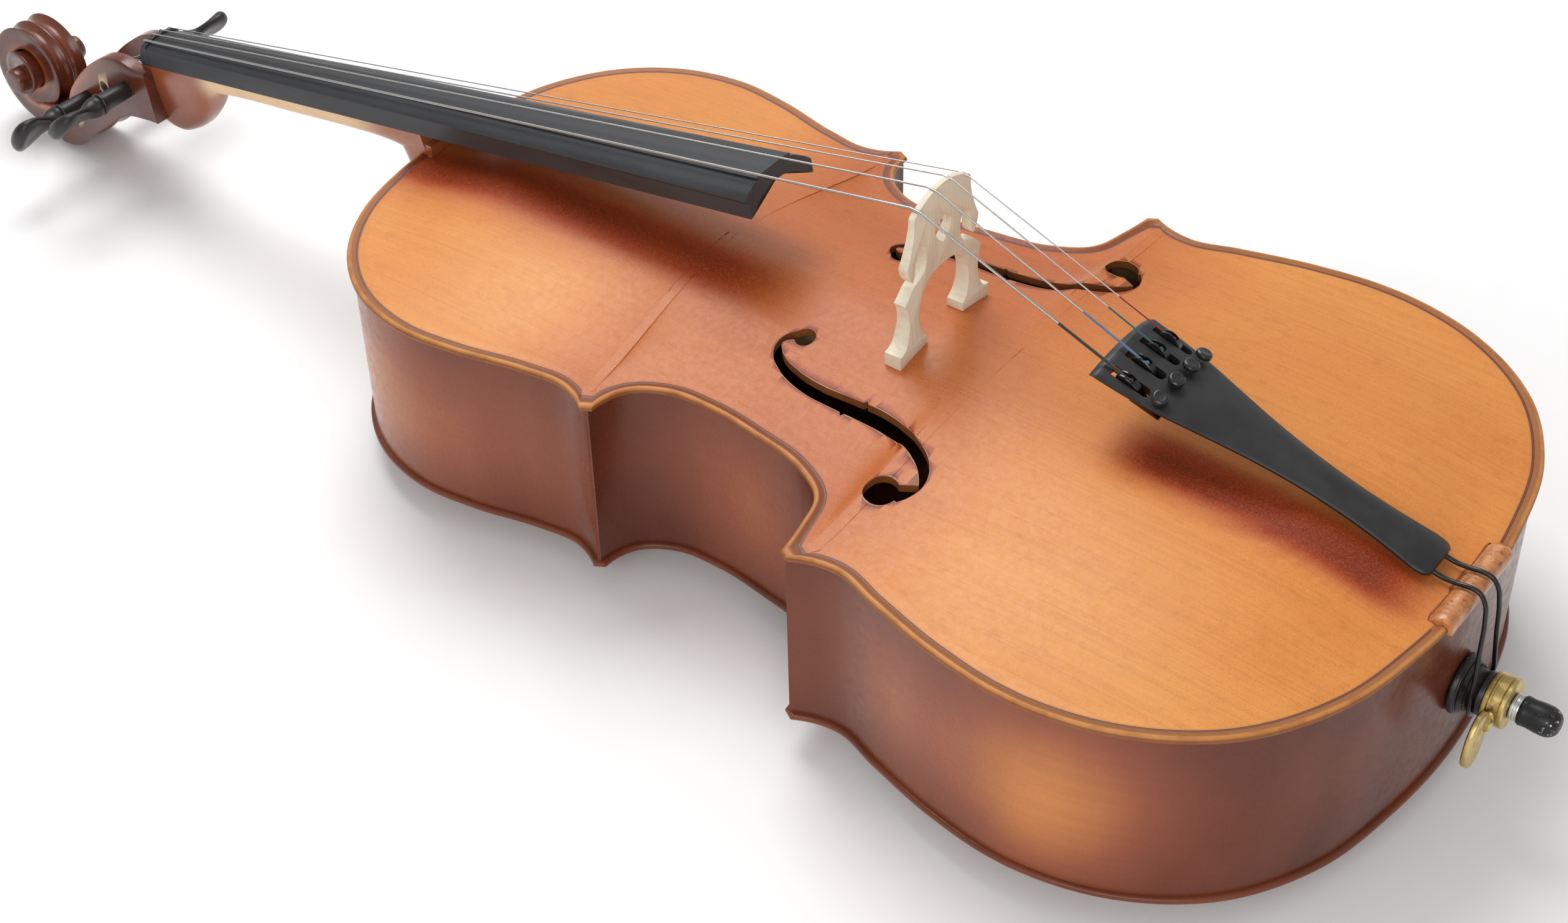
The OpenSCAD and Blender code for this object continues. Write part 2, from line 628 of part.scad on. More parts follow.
// Outline of a peg's flat head: distance from the collar and half breadth
PEG_HEAD = [
  [0, 7.2], [3, 7.8], [5, 6.6], [10, 6.4], [16, 9.5], [23, 14.5], [30, 17.2], [36, 16.4], [41, 11.5], [43, 5]
];
PEG_THICK = [
  [0, 7.2], [3, 7.8], [8, 7], [15, 4], [22, 3.8], [30, 5.2], [38, 6.4], [41.5, 5], [43, 2.5]
];
PEG_TURN = [-46, -60, 15, -45];
module peg(i) color("black") at_peg(i) {
  peg_cone(-cheek(PEGS[i][0]) - 0.4, head_x + 0.2, 0);
  translate([head_x - 2.5, 0, 0]) rotate([0, 90, 0]) rotate_extrude()
    polygon([[5, 0], [7.6, 0], [8.4, 0.8], [8.4, 1.6], [7.8, 2.4], [5, 2.4]]);
  translate([head_x, 0, 0]) rotate([PEG_TURN[i], 0, 0]) intersection() {
    rotate([90, 0, 0]) linear_extrude(40, center = true)
      polygon(concat(PEG_HEAD, reverse([for (p = PEG_HEAD) [p[0], -p[1]]])));
    linear_extrude(40, center = true)
      polygon(concat(PEG_THICK, reverse([for (p = PEG_THICK) [p[0], -p[1]]])));
  }
}
module peg_c() peg(0);
module peg_g() peg(1);
module peg_d() peg(2);
module peg_a() peg(3);

// String radii and how the strings lie, in the order c, g, d, a
STRING_R = [0.85, 0.65, 0.5, 0.4];
TURNS = 6;
// Where each winding begins, measured from the centre line towards its own peg's head
WIND_FROM = [2.6, -1.5, -1.5, 6];
function wind_r(i) = peg_r(WIND_FROM[i] + 2 * TURNS * STRING_R[i]) + 0.03;
module winding(i) color("silver") at_peg(i) {
  r = wind_r(i);
  d = 2 * STRING_R[i];
  translate([WIND_FROM[i], 0, 0]) rotate([0, 90, 0]) rotate_extrude()
    polygon(concat([[r, 0]],
      [for (t = [0:TURNS - 1]) each [[r + 0.3 * d, t * d], [r + d, (t + 0.3) * d], [r + d, (t + 0.7) * d]]],
      [[r + 0.3 * d, TURNS * d], [r, TURNS * d]]));
}
module winding_c() winding(0);
module winding_g() winding(1);
module winding_d() winding(2);
module winding_a() winding(3);

// ---- Strings ----

// Tube of radius r through the points, as one closed skin with 8 sides
SIDES = 8;
function path_dir(p, i) = unit(p[min(i + 1, len(p) - 1)] - p[max(i - 1, 0)]);
module tube(p, r, side = [1, 0, 0]) {
  loft([for (i = [0:len(p) - 1])
    let (d = path_dir(p, i), a = unit(cross(cross(d, side), d)), b = cross(d, a))
    [for (k = [0:SIDES - 1]) p[i] + r * (cos(360 * k / SIDES) * a + sin(360 * k / SIDES) * b)]]);
}

// Where a string crosses the nut, in the body's lines
function nut_x(i) = (i - 1.5) * nut_gap;
function nut_h(i) = lookup(nut_x(i) / board_nut_half, BOARD_TOP_NUT) + 1.6;
function neck_point(x, u, h) = [
  x,
  body_len + u * cos(neck_angle) + h * sin(neck_angle),
  overstand - u * sin(neck_angle) + h * cos(neck_angle)
];
// Points of each string behind the nut, down to its peg: [y, z]
PEG_RUN = [
  [[1052.5, -47], [1043.5, -24]],
  [[1104.5, -74.4], [1043.5, -22.5]],
  [[1128, -98.8], [1108.8, -72.8], [1043.5, -22]],
  [[1081, -57], [1043.5, -23.5]]
];
function wind_x(i) = PEGS[i][2] * (WIND_FROM[i] + STRING_R[i]);
// Front points of the fine tuners' hooks, in the tailpiece's frame
HOOK_Y = -21;
HOOK_Z = 1;
function tuner_x(i) = (i - 1.5) * tuner_gap;
// Height of the tailpiece's top at each tuner
function tail_top(i) = -5.6 * (tuner_x(i) / 30) ^ 2;
// How far each tuner leans outwards with the tailpiece's curve
function tuner_lean(i) = atan(2 * 5.6 * tuner_x(i) / 30 ^ 2);
function tail_point(x, y, z) = [
  x,
  TAIL_FRONT[0] + y * cos(tail_angle) - z * sin(tail_angle),
  TAIL_FRONT[1] + y * sin(tail_angle) + z * cos(tail_angle)
];
function string_hook(i) = tail_point(
  tuner_x(i) + HOOK_Z * sin(tuner_lean(i)), HOOK_Y, tail_top(i) + HOOK_Z * cos(tuner_lean(i)));
function string_path(i) =
  let (r = STRING_R[i], nx = nut_x(i), wx = wind_x(i), hook = string_hook(i),
       top = [bridge_x(i), bridge_y, STRING_Z[i] + r + 0.45],
       over_nut = neck_point(nx, nut_u + 1.2, nut_h(i) + r), behind = neck_point(nx, nut_u + 4.2, nut_h(i) + r),
       run = PEG_RUN[i], m = len(run))
  concat(
    [for (k = [0:m - 1]) let (s = k / m) [wx * (1 - s) + nx * s, run[k][0], run[k][1] + r]],
    [behind, over_nut],
    [for (k = [1:3]) over_nut + (top - over_nut) * k / 4],
    [top + unit(over_nut - top) * 4, top + unit(hook - top) * 4],
    [for (k = [1:2]) top + (hook - top) * k / 3], [hook]
  );
module string(i) color("silver") place() {
  tube(string_path(i), STRING_R[i]);
  translate(string_path(i)[len(string_path(i)) - 1]) rotate([0, 90, 0]) cylinder(r = 1.5, h = 2.4, center = true);
}
module string_c() string(0);
module string_g() string(1);
module string_d() string(2);
module string_a() string(3);

// ---- Tailpiece and fine tuners ----

// Stations of the tailpiece: distance behind its front edge, half width, crown drop, depth
TAIL_STATIONS = [
  [0, 32, 5.8, 9.2], [-14, 31.4, 5.7, 9.4], [-44, 28, 5.4, 9.6], [-66, 23.6, 5, 9.6], [-96, 17.8, 4.6, 9.6],
  [-126, 13.9, 4.2, 9.6], [-152, 12.6, 4, 9.6], [-176, 13.2, 4, 9.6], [-194, 14.8, 4.2, 9.4],
  [-204, 15.6, 4.4, 9], [-209, 14.6, 4.4, 8.4], [-212, 11.6, 4.4, 7.6]
];
TAIL_SIDES = 10;
function tail_section(s) =
  let (n = TAIL_SIDES)
  concat(
    [for (i = [0:n]) let (c = -1 + 2 * i / n) [c * s[1], s[0], -s[2] * c * c]],
    [[s[1] * 0.97, s[0], -s[2] - 2.6], [s[1] * 0.55, s[0], -s[3]], [-s[1] * 0.55, s[0], -s[3]],
     [-s[1] * 0.97, s[0], -s[2] - 2.6]]
  );
slot_w = 6.4;
slot_from = -34.2;
slot_to = -8.3;
knob_y = -40.4;
pin_y = -26;
pin_z = -6;
pin_r = 1.05;
screw_r = 1.7;
// Frame of one tuner: its own slot's middle, z up from the tailpiece's top
module tuner_frame(i) {
  translate([tuner_x(i), 0, tail_top(i)]) rotate([0, tuner_lean(i), 0]) children();
}
module at_tuner(i) {
  on_tail() tuner_frame(i) children();
}
module tailpiece() color("black") on_tail() difference() {
  loft([for (s = TAIL_STATIONS) tail_section(s)], true);
  for (i = [0:3]) tuner_frame(i) {
    translate([-slot_w / 2, slot_from + slot_w / 2, -20]) cube([slot_w, slot_to - slot_from - slot_w, 40]);
    translate([0, slot_from + slot_w / 2, -20]) cylinder(d = slot_w, h = 40);
    translate([0, slot_to - slot_w / 2, -20]) cylinder(d = slot_w, h = 40);
    translate([0, knob_y, -20]) cylinder(r = screw_r + 0.06, h = 40);
  }
  for (s = [-1, 1]) translate([s * CORD_X, -217, -6]) rotate([-90, 0, 0]) cylinder(r = cord_r + 0.3, h = 22);
}
module tuner_pins() color("silver") for (i = [0:3]) at_tuner(i)
  translate([0, pin_y, pin_z]) rotate([0, 90, 0]) cylinder(r = pin_r, h = slot_w - 0.1, center = true);

lever_w = 5;
arm_z = -12.6;
LEVER_SIDE = [
  [-29.4, -5], [-28, -1.6], [-25, 1.6], [-21, 3.6], [-17, 3.8], [-13.6, 2.2], [-12.2, -0.6],
  [-12.8, -4.6], [-22.4, -8.6], [-24.6, arm_z - 2], [-44, arm_z - 2], [-44, arm_z], [-28.4, arm_z]
];
module tuner_lever(i) color("black") at_tuner(i) difference() {
  across(lever_w) polygon(LEVER_SIDE);
  translate([0, pin_y, pin_z]) rotate([0, 90, 0]) cylinder(r = pin_r + 0.05, h = 20, center = true);
  translate([-1.15, -22, -0.9]) cube([2.3, 12, 12]);
  translate([-2, -23.4, -1.2]) cube([4, 4.2, 12]);
}
module tuner_lever_c() tuner_lever(0);
module tuner_lever_g() tuner_lever(1);
module tuner_lever_d() tuner_lever(2);
module tuner_lever_a() tuner_lever(3);

knob_gap = tuner_travel + 0.6;
knob_h = 4.2;
knob_r = 4.9;
module tuner_screw(i) color("silver") at_tuner(i)
  translate([0, knob_y, arm_z + 0.3])
    cylinder(r = screw_r, h = knob_gap + 0.9 * knob_h - arm_z - 0.3);
module tuner_screw_c() tuner_screw(0);
module tuner_screw_g() tuner_screw(1);
module tuner_screw_d() tuner_screw(2);
module tuner_screw_a() tuner_screw(3);

module tuner_knob(i) color("black") at_tuner(i) translate([0, knob_y, knob_gap])
  difference() {
    rotate_extrude() polygon([
      [0, 0], [knob_r - 1.2, 0], [knob_r, 1], [knob_r, knob_h - 1], [knob_r - 0.8, knob_h - 0.2],
      [knob_r - 1.4, knob_h], [0, knob_h]
    ]);
    translate([0, 0, -1]) cylinder(r = screw_r + 0.04, h = 0.9 * knob_h + 1.05);
  }
module tuner_knob_c() tuner_knob(0);
module tuner_knob_g() tuner_knob(1);
module tuner_knob_d() tuner_knob(2);
module tuner_knob_a() tuner_knob(3);

// ---- Tail cord ----

// Right half of the cord, from inside the tailpiece over the saddle to below the endpin collar
CORD_HALF = [
  [7.5, 31, 12.2], [7.5, 20, 8.9], [7.5, 12, 9.2], [7.5, 5, 10.2], [7.6, -1, 9.2], [7.9, -5, 4],
  [8.6, -7, -6], [10.4, -8.4, -28], [12.6, -9.6, -48], [14.2, -10, -58]
];
cord_y = -10;
groove_r = 12.6;
module tail_cord() color("black") place() {
  lean = groove_r + cord_r + 0.15;
  loop = [for (a = [8:-16:-188]) [lean * cos(a), cord_y, endpin_z + lean * sin(a)]];
  left = reverse([for (p = CORD_HALF) [-p[0], p[1], p[2]]]);
  tube(concat(CORD_HALF, loop, left), cord_r, [0, 1, 0.3]);
}

// ---- Endpin ----

module on_endpin() {
  place() translate([0, 0, endpin_z]) children();
}
plug_in = 30;
ring_from = -15.6;
ring_to = -29;
ring_r = 15;
flange_y = 2.4;
module endpin_collar() color("black") on_endpin() difference() {
  turned([[0, plug_in], [plug_r - 2, plug_in], [plug_r, 8], [plug_r, flange_y], [17.6, flange_y],
    [18.4, 1], [18, -1.4], [16.6, -2.6], [16.8, -3.4], [14.6, -5.6], [14.9, -6.4], [13.4, -8],
    [groove_r, -8.7], [groove_r, -11.3], [13.4, -12.2], [13.4, ring_from + 0.1], [0, ring_from + 0.1]]);
  rotate([90, 0, 0]) cylinder(r = rod_r + 0.06, h = 200, center = true);
}
clamp_y = -22;
stud_r = 3;
module endpin_ring() color("gold") on_endpin() difference() {
  turned([[0, ring_from], [ring_r - 0.6, ring_from], [ring_r, ring_from - 0.6], [ring_r, -18.6],
    [ring_r - 0.8, -19], [ring_r, -19.4], [ring_r, -25.4], [ring_r - 0.8, -25.8], [ring_r, -26.2],
    [ring_r, ring_to + 0.6], [ring_r - 0.6, ring_to], [0, ring_to]]);
  rotate([90, 0, 0]) cylinder(r = rod_r + 0.06, h = 200, center = true);
  translate([0, clamp_y, 0]) rotate([0, -90, 0]) cylinder(r = stud_r + 0.06, h = 30);
}
module endpin_clamp_screw() color("gold") on_endpin() translate([-rod_r - 0.2, clamp_y, 0])
  rotate([0, -90, 0]) cylinder(r = stud_r, h = 18.3);
WING = [
  [-19.4, 4], [-20.6, 8], [-24, 11], [-29, 12], [-34.5, 10], [-39, 5], [-42, -3], [-43, -11], [-41, -18],
  [-36, -22.6], [-30, -23.4], [-25, -20.4], [-21.6, -14], [-19.8, -8], [-19.4, -4]
];
wing_t = 4;
module endpin_wing() color("gold") on_endpin() difference() {
  union() {
    translate([0, clamp_y + wing_t / 2, 0]) along(wing_t) polygon(WING);
    translate([-18.6, clamp_y, 0]) rotate([0, -90, 0]) cylinder(r = stud_r + 1.7, h = 6);
  }
  translate([-10, clamp_y, 0]) rotate([0, -90, 0]) cylinder(r = stud_r + 0.05, h = 13.1);
}
sleeve_to = -34.5;
module endpin_rod() color("silver") on_endpin() rotate([90, 0, 0])
  translate([0, 0, -rod_len + 39.8]) cylinder(r = rod_r, h = rod_len);
module endpin_sleeve() color("lightgray") on_endpin() difference() {
  turned([[0, ring_to - 0.4], [7.6, ring_to - 0.4], [8, ring_to - 0.9], [8, sleeve_to + 0.1], [0, sleeve_to + 0.1]]);
  rotate([90, 0, 0]) cylinder(r = rod_r + 0.02, h = 100, center = true);
}
module endpin_tip() color("black") on_endpin() difference() {
  union() {
    turned([[0, sleeve_to], [tip_r - 0.6, sleeve_to], [tip_r, sleeve_to - 1], [tip_r, -50], [0, -50]]);
    turned([[0, -50], [tip_r, -50], [tip_r - 0.9, -53], [tip_r - 3, -55.8], [tip_r - 6, tip_end], [0, tip_end]]);
  }
  translate([0, -40, 0]) rotate([-90, 0, 0]) cylinder(r = rod_r + 0.02, h = 60);
}

belly();
belly_purfling();
back_plate();
back_purfling();
bass_bar();
sound_post();
rib_upper_bass();
rib_upper_treble();
rib_waist_bass();
rib_waist_treble();
rib_lower_bass();
rib_lower_treble();
belly_linings();
back_linings();
top_block();
bottom_block();
corner_blocks();
neck();
fingerboard();
nut();
saddle();
bridge();
peg_c();
peg_g();
peg_d();
peg_a();
winding_c();
winding_g();
winding_d();
winding_a();
string_c();
string_g();
string_d();
string_a();
tailpiece();
tuner_pins();
tuner_lever_c();
tuner_lever_g();
tuner_lever_d();
tuner_lever_a();
tuner_screw_c();
tuner_screw_g();
tuner_screw_d();
tuner_screw_a();
tuner_knob_c();
tuner_knob_g();
tuner_knob_d();
tuner_knob_a();
tail_cord();
endpin_collar();
endpin_ring();
endpin_clamp_screw();
endpin_wing();
endpin_rod();
endpin_sleeve();
endpin_tip();
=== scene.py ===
"""Looks of a full-size cello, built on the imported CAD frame. Metres, same frame as the CAD."""
import math

import bmesh
import bpy
import numpy as np
from mathutils import Matrix, Vector
from mathutils.bvhtree import BVHTree


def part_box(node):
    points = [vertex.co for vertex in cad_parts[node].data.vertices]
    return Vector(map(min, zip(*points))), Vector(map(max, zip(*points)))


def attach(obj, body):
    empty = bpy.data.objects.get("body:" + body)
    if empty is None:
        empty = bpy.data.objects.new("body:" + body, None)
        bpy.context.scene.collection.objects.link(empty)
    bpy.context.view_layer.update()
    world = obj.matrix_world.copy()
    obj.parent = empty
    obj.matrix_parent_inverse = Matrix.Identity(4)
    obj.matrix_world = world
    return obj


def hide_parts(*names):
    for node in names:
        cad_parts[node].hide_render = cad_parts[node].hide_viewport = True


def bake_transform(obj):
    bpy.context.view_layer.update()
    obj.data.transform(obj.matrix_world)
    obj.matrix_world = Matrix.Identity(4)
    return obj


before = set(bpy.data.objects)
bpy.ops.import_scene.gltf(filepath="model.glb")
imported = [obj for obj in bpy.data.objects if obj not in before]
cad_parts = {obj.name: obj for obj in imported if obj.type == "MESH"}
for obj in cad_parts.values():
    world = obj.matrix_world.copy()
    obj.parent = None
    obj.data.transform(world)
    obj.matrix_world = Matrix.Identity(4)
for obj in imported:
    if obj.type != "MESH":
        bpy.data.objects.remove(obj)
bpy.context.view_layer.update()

# Lines below are drawn in millimetres from the body's bottom edge (y) and the ribs' top (z).
MID = -57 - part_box("endpin_tip")[0][1] * 1000
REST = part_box("back_plate")[1][2] * 1000 + 120


def place(p):
    p = np.asarray(p, float)
    return (p + np.array([0, -MID, REST])) / 1000


# ---- curves

def unit(v):
    v = np.asarray(v, float)
    return v / np.linalg.norm(v)


def spline(knots, steps, first=None, last=None):
    """Smooth curve through the knots with steps points in each span."""
    k = np.asarray(knots, float)
    n = len(k)
    seg = k[1:] - k[:-1]
    ln = np.linalg.norm(seg, axis=1)
    tan = np.zeros_like(k)
    for i in range(1, n - 1):
        a, b = seg[i - 1] / ln[i - 1], seg[i] / ln[i]
        tan[i] = (a * ln[i] + b * ln[i - 1]) / (ln[i] + ln[i - 1])
    tan[0] = first if first is not None else 2 * seg[0] / ln[0] - tan[1]
    tan[-1] = last if last is not None else 2 * seg[-1] / ln[-1] - tan[-2]
    out = []
    for i in range(n - 1):
        for j in range(steps):
            s = j / steps
            out.append((2 * s**3 - 3 * s**2 + 1) * k[i] + (s**3 - 2 * s**2 + s) * ln[i] * tan[i]
                + (3 * s**2 - 2 * s**3) * k[i + 1] + (s**3 - s**2) * ln[i] * tan[i + 1])
    out.append(k[-1])
    return np.array(out)


def normals(p, first=None, last=None):
    d = np.zeros_like(p)
    d[1:-1] = p[2:] - p[:-2]
    d[0] = first if first is not None else p[1] - p[0]
    d[-1] = last if last is not None else p[-1] - p[-2]
    d /= np.linalg.norm(d, axis=1)[:, None]
    return np.stack([-d[:, 1], d[:, 0]], 1)


def turn_angles(count):
    return np.linspace(0, 2 * math.pi, count, endpoint=False)


def circle(c, r, n=40):
    a = turn_angles(n)
    return np.c_[c[0] + r * np.cos(a), c[1] + r * np.sin(a)]


def smooth(x, a, b):
    t = np.clip((np.asarray(x, float) - a) / (b - a), 0, 1)
    return t * t * (3 - 2 * t)


# ---- meshes

def add_mesh(name, verts, faces, material, sharp=None, attrs=None, world=False):
    """Mesh object from points in the body's millimetres, or in metres with world=True."""
    v = np.asarray(verts, float)
    if not world:
        v = place(v)
    me = bpy.data.meshes.new(name)
    me.from_pydata(v.tolist(), [], [tuple(int(i) for i in f) for f in faces])
    bm = bmesh.new()
    bm.from_mesh(me)
    bmesh.ops.recalc_face_normals(bm, faces=bm.faces)
    bm.to_mesh(me)
    bm.free()
    for key, values in (attrs or {}).items():
        a = me.attributes.new(key, "FLOAT", "POINT")
        a.data.foreach_set("value", np.asarray(values, np.float32))
    ob = bpy.data.objects.new(name, me)
    bpy.context.scene.collection.objects.link(ob)
    if material:
        me.materials.append(material)
    me.shade_smooth()
    if sharp is not None:
        me.set_sharp_from_angle(angle=math.radians(sharp))
    return ob


def grid_faces(rows, cols, wrap_cols=True, wrap_rows=False):
    f = []
    for r in range(rows if wrap_rows else rows - 1):
        r2 = (r + 1) % rows
        for c in range(cols if wrap_cols else cols - 1):
            c2 = (c + 1) % cols
            f.append((r * cols + c, r2 * cols + c, r2 * cols + c2, r * cols + c2))
    return f


def loft(name, rings, material, sharp=40, caps=True, attrs=None, closed=False, world=False):
    """Closed skin through rings with equal numbers of points."""
    rings = [np.asarray(r, float) for r in rings]
    n = len(rings[0])
    v = np.concatenate(rings)
    f = grid_faces(len(rings), n, True, closed)
    if caps and not closed:
        a, b = len(v), len(v) + 1
        v = np.concatenate([v, rings[0].mean(0)[None], rings[-1].mean(0)[None]])
        last = (len(rings) - 1) * n
        f += [(i, (i + 1) % n, a) for i in range(n)]
        f += [(last + (i + 1) % n, last + i, b) for i in range(n)]
        if attrs:
            attrs = {k: np.r_[x, x[0], x[-1]] for k, x in attrs.items()}
    return add_mesh(name, v, f, material, sharp, attrs, world)


def lathe(name, profile, origin, axis, material, segments=64, sharp=35):
    """Turned shape: profile is (distance along axis, radius) from end to end, closed on the axis."""
    axis = unit(axis)
    side = unit(np.cross(axis, [0.3, 0.2, 1] if abs(axis[2]) < 0.9 else [1, 0, 0]))
    other = np.cross(axis, side)
    rings = []
    for d, r in profile:
        a = turn_angles(segments)
        r = max(r, 1e-3)
        rings.append(np.asarray(origin) + axis * d + r * (np.cos(a)[:, None] * side + np.sin(a)[:, None]
            * other))
    return loft(name, rings, material, sharp)


def frames(path, hint):
    path = np.asarray(path, float)
    d = np.zeros_like(path)
    d[1:-1] = path[2:] - path[:-2]
    d[0] = path[1] - path[0]
    d[-1] = path[-1] - path[-2]
    d /= np.linalg.norm(d, axis=1)[:, None]
    a = np.zeros_like(path)
    prev = np.asarray(hint, float)
    for i in range(len(path)):
        v = prev - d[i] * np.dot(prev, d[i])
        a[i] = v / np.linalg.norm(v)
        prev = a[i]
    return d, a, np.cross(d, a)


def tube(name, path, radius, material, sides=12, hint=(1, 0, 0.01), sharp=50, attrs=None):
    path = np.asarray(path, float)
    _, a, b = frames(path, hint)
    r = np.broadcast_to(np.asarray(radius, float), (len(path),))
    t = turn_angles(sides)
    rings = [path[i] + r[i] * (np.cos(t)[:, None] * a[i] + np.sin(t)[:, None] * b[i]) for i
        in range(len(path))]
    at = {k: np.repeat(v, sides) for k, v in (attrs or {}).items()} or None
    return loft(name, rings, material, sharp, attrs=at)


def apply_modifiers(ob):
    dg = bpy.context.evaluated_depsgraph_get()
    me = bpy.data.meshes.new_from_object(ob.evaluated_get(dg))
    old = ob.data
    ob.modifiers.clear()
    ob.data = me
    bpy.data.meshes.remove(old)


def bevel(ob, width, segments=2, angle=35, sharp=40):
    m = ob.modifiers.new("bevel", "BEVEL")
    m.width = width / 1000
    m.segments = segments
    m.limit_method = "ANGLE"
    m.angle_limit = math.radians(angle)
    m.harden_normals = False
    apply_modifiers(ob)
    if sharp is not None:
        ob.data.set_sharp_from_angle(angle=math.radians(sharp))
    return ob


def cut(ob, cutters, mode="DIFFERENCE"):
    for c in cutters:
        m = ob.modifiers.new("cut", "BOOLEAN")
        m.operation = mode
        m.solver = "EXACT"
        m.object = c
    apply_modifiers(ob)
    for c in cutters:
        me = c.data
        bpy.data.objects.remove(c)
        bpy.data.meshes.remove(me)
    return ob


def prism(name, outline, axis, lo, hi, material, sharp=35):
    """Outline in the plane square to an axis ('x': y-z, 'y': x-z, 'z': x-y), from lo to hi along it."""
    o = np.asarray(outline, float)
    put = {"x": lambda h: np.c_[np.full(len(o), h), o], "y": lambda h: np.c_[o[:, 0], np.full(len(o), h),
        o[:, 1]], "z": lambda h: np.c_[o, np.full(len(o), h)]}[axis]
    n = len(o)
    v = np.concatenate([put(lo), put(hi)])
    f = [tuple(range(n)), tuple(range(2 * n - 1, n - 1, -1))]
    f += [(i, i + n, (i + 1) % n + n, (i + 1) % n) for i in range(n)]
    return add_mesh(name, v, f, material, sharp)


def own(ob, body, nodes):
    """Says which body a piece rides and which CAD nodes it replaces."""
    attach(ob, body)
    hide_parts(*nodes)
    return ob


# ---- materials

def srgb(r, g, b):
    def lin(c):
        c /= 255
        return c / 12.92 if c <= 0.04045 else ((c + 0.055) / 1.055) ** 2.4
    return (lin(r), lin(g), lin(b), 1)


class Mat:
    """A node material in the making."""

    def __init__(self, name, rough=0.5, metal=0.0, coat=0.0, coat_rough=0.2, spec=0.5):
        self.m = bpy.data.materials.new(name)
        self.m.use_nodes = True
        self.t = self.m.node_tree
        self.s = self.t.nodes["Principled BSDF"]
        self.s.inputs["Roughness"].default_value = rough
        self.s.inputs["Metallic"].default_value = metal
        self.s.inputs["Coat Weight"].default_value = coat
        self.s.inputs["Coat Roughness"].default_value = coat_rough
        self.s.inputs["Specular IOR Level"].default_value = spec
        self.coords = self.t.nodes.new("ShaderNodeTexCoord").outputs["Object"]

    def _in(self, sock, v):
        if isinstance(v, bpy.types.NodeSocket):
            self.t.links.new(v, sock)
        else:
            sock.default_value = v

    def node(self, kind, **inputs):
        n = self.t.nodes.new("ShaderNode" + kind)
        for key, v in inputs.items():
            self._in(n.inputs[key.replace("_", " ")], v)
        return n

    def mapped(self, scale, rot=(0, 0, 0), loc=(0, 0, 0)):
        return self.node("Mapping", Vector=self.coords, Scale=scale, Rotation=rot, Location=loc).outputs[0]

    def noise(self, scale=(1, 1, 1), detail=2.0, rough=0.5, k=1.0, rot=(0, 0, 0), distort=0.0,
            loc=(0, 0, 0)):
        return self.node("TexNoise", Vector=self.mapped(scale, rot, loc), Scale=k, Detail=detail,
            Roughness=rough, Distortion=distort).outputs["Fac"]

    def even(self, detail, rough, k, **more):
        """Noise of the same size in every direction."""
        return self.noise((1, 1, 1), detail, rough, k, **more)

    def wave(self, scale=(1, 1, 1), k=1.0, distort=0.0, rot=(0, 0, 0), direction="X", detail=2.0):
        n = self.node("TexWave", Vector=self.mapped(scale, rot), Scale=k, Distortion=distort, Detail=detail)
        n.bands_direction = direction
        return n.outputs["Fac"]

    def voronoi(self, scale=(1, 1, 1), k=1.0, feature="F1"):
        n = self.node("TexVoronoi", Vector=self.mapped(scale), Scale=k)
        n.feature = feature
        return n.outputs["Distance"]

    def attr(self, name):
        n = self.node("Attribute")
        n.attribute_name = name
        return n.outputs["Fac"]

    def ramp(self, fac, stops):
        n = self.node("ValToRGB", Fac=fac)
        e = n.color_ramp.elements
        while len(e) < len(stops):
            e.new(0.5)
        for i, (p, c) in enumerate(stops):
            e[i].position = p
            e[i].color = c if len(c) == 4 else (*c, 1)
        return n.outputs["Color"]

    def span(self, v, a, b, lo=0.0, hi=1.0):
        n = self.node("MapRange", Value=v, From_Min=a, From_Max=b, To_Min=lo, To_Max=hi)
        n.interpolation_type = "SMOOTHSTEP"
        return n.outputs["Result"]

    def mix(self, fac, a, b, mode="MIX"):
        n = self.t.nodes.new("ShaderNodeMix")
        n.data_type = "RGBA"
        n.blend_type = mode
        self._in(n.inputs["Factor"], fac)
        self._in(n.inputs[6], a)
        self._in(n.inputs[7], b)
        return n.outputs[2]

    def math(self, op, a, b=0.0, c=None, clamp=False):
        n = self.t.nodes.new("ShaderNodeMath")
        n.operation = op
        n.use_clamp = clamp
        self._in(n.inputs[0], a)
        self._in(n.inputs[1], b)
        if c is not None:
            self._in(n.inputs[2], c)
        return n.outputs[0]

    def times(self, a, b):
        return self.math("MULTIPLY", a, b)

    def plus(self, a, b, clamp=False):
        return self.math("ADD", a, b, clamp=clamp)

    def sway(self, a, noise, k):
        """a moved up and down by a noise, kept within 0 and 1."""
        return self.plus(a, self.times(self.math("SUBTRACT", noise, 0.5), k), clamp=True)

    def tint(self, base, v, a, b, k, tone):
        """Lays tone over base by up to k where v goes from a to b."""
        return self.mix(self.span(v, a, b, 0, k), base, tone)

    def axis(self, i):
        n = self.t.nodes.new("ShaderNodeSeparateXYZ")
        self._in(n.inputs[0], self.coords)
        return n.outputs[i]

    def color(self, c):
        self._in(self.s.inputs["Base Color"], c)

    def roughness(self, v):
        self._in(self.s.inputs["Roughness"], v)

    def bump(self, h, strength=0.2, distance=0.0002):
        n = self.node("Bump", Strength=strength, Distance=distance, Height=h)
        self._in(self.s.inputs["Normal"], n.outputs[0])

    def done(self, color, rough, height, strength, distance):
        """Links the finished colour, roughness and bump, and gives the material."""
        self.color(color)
        if rough is not None:
            self.roughness(rough)
        self.bump(height, strength, distance)
        return self.m


def shade(tone, k):
    return tuple(c * k for c in tone[:3]) + (1,)


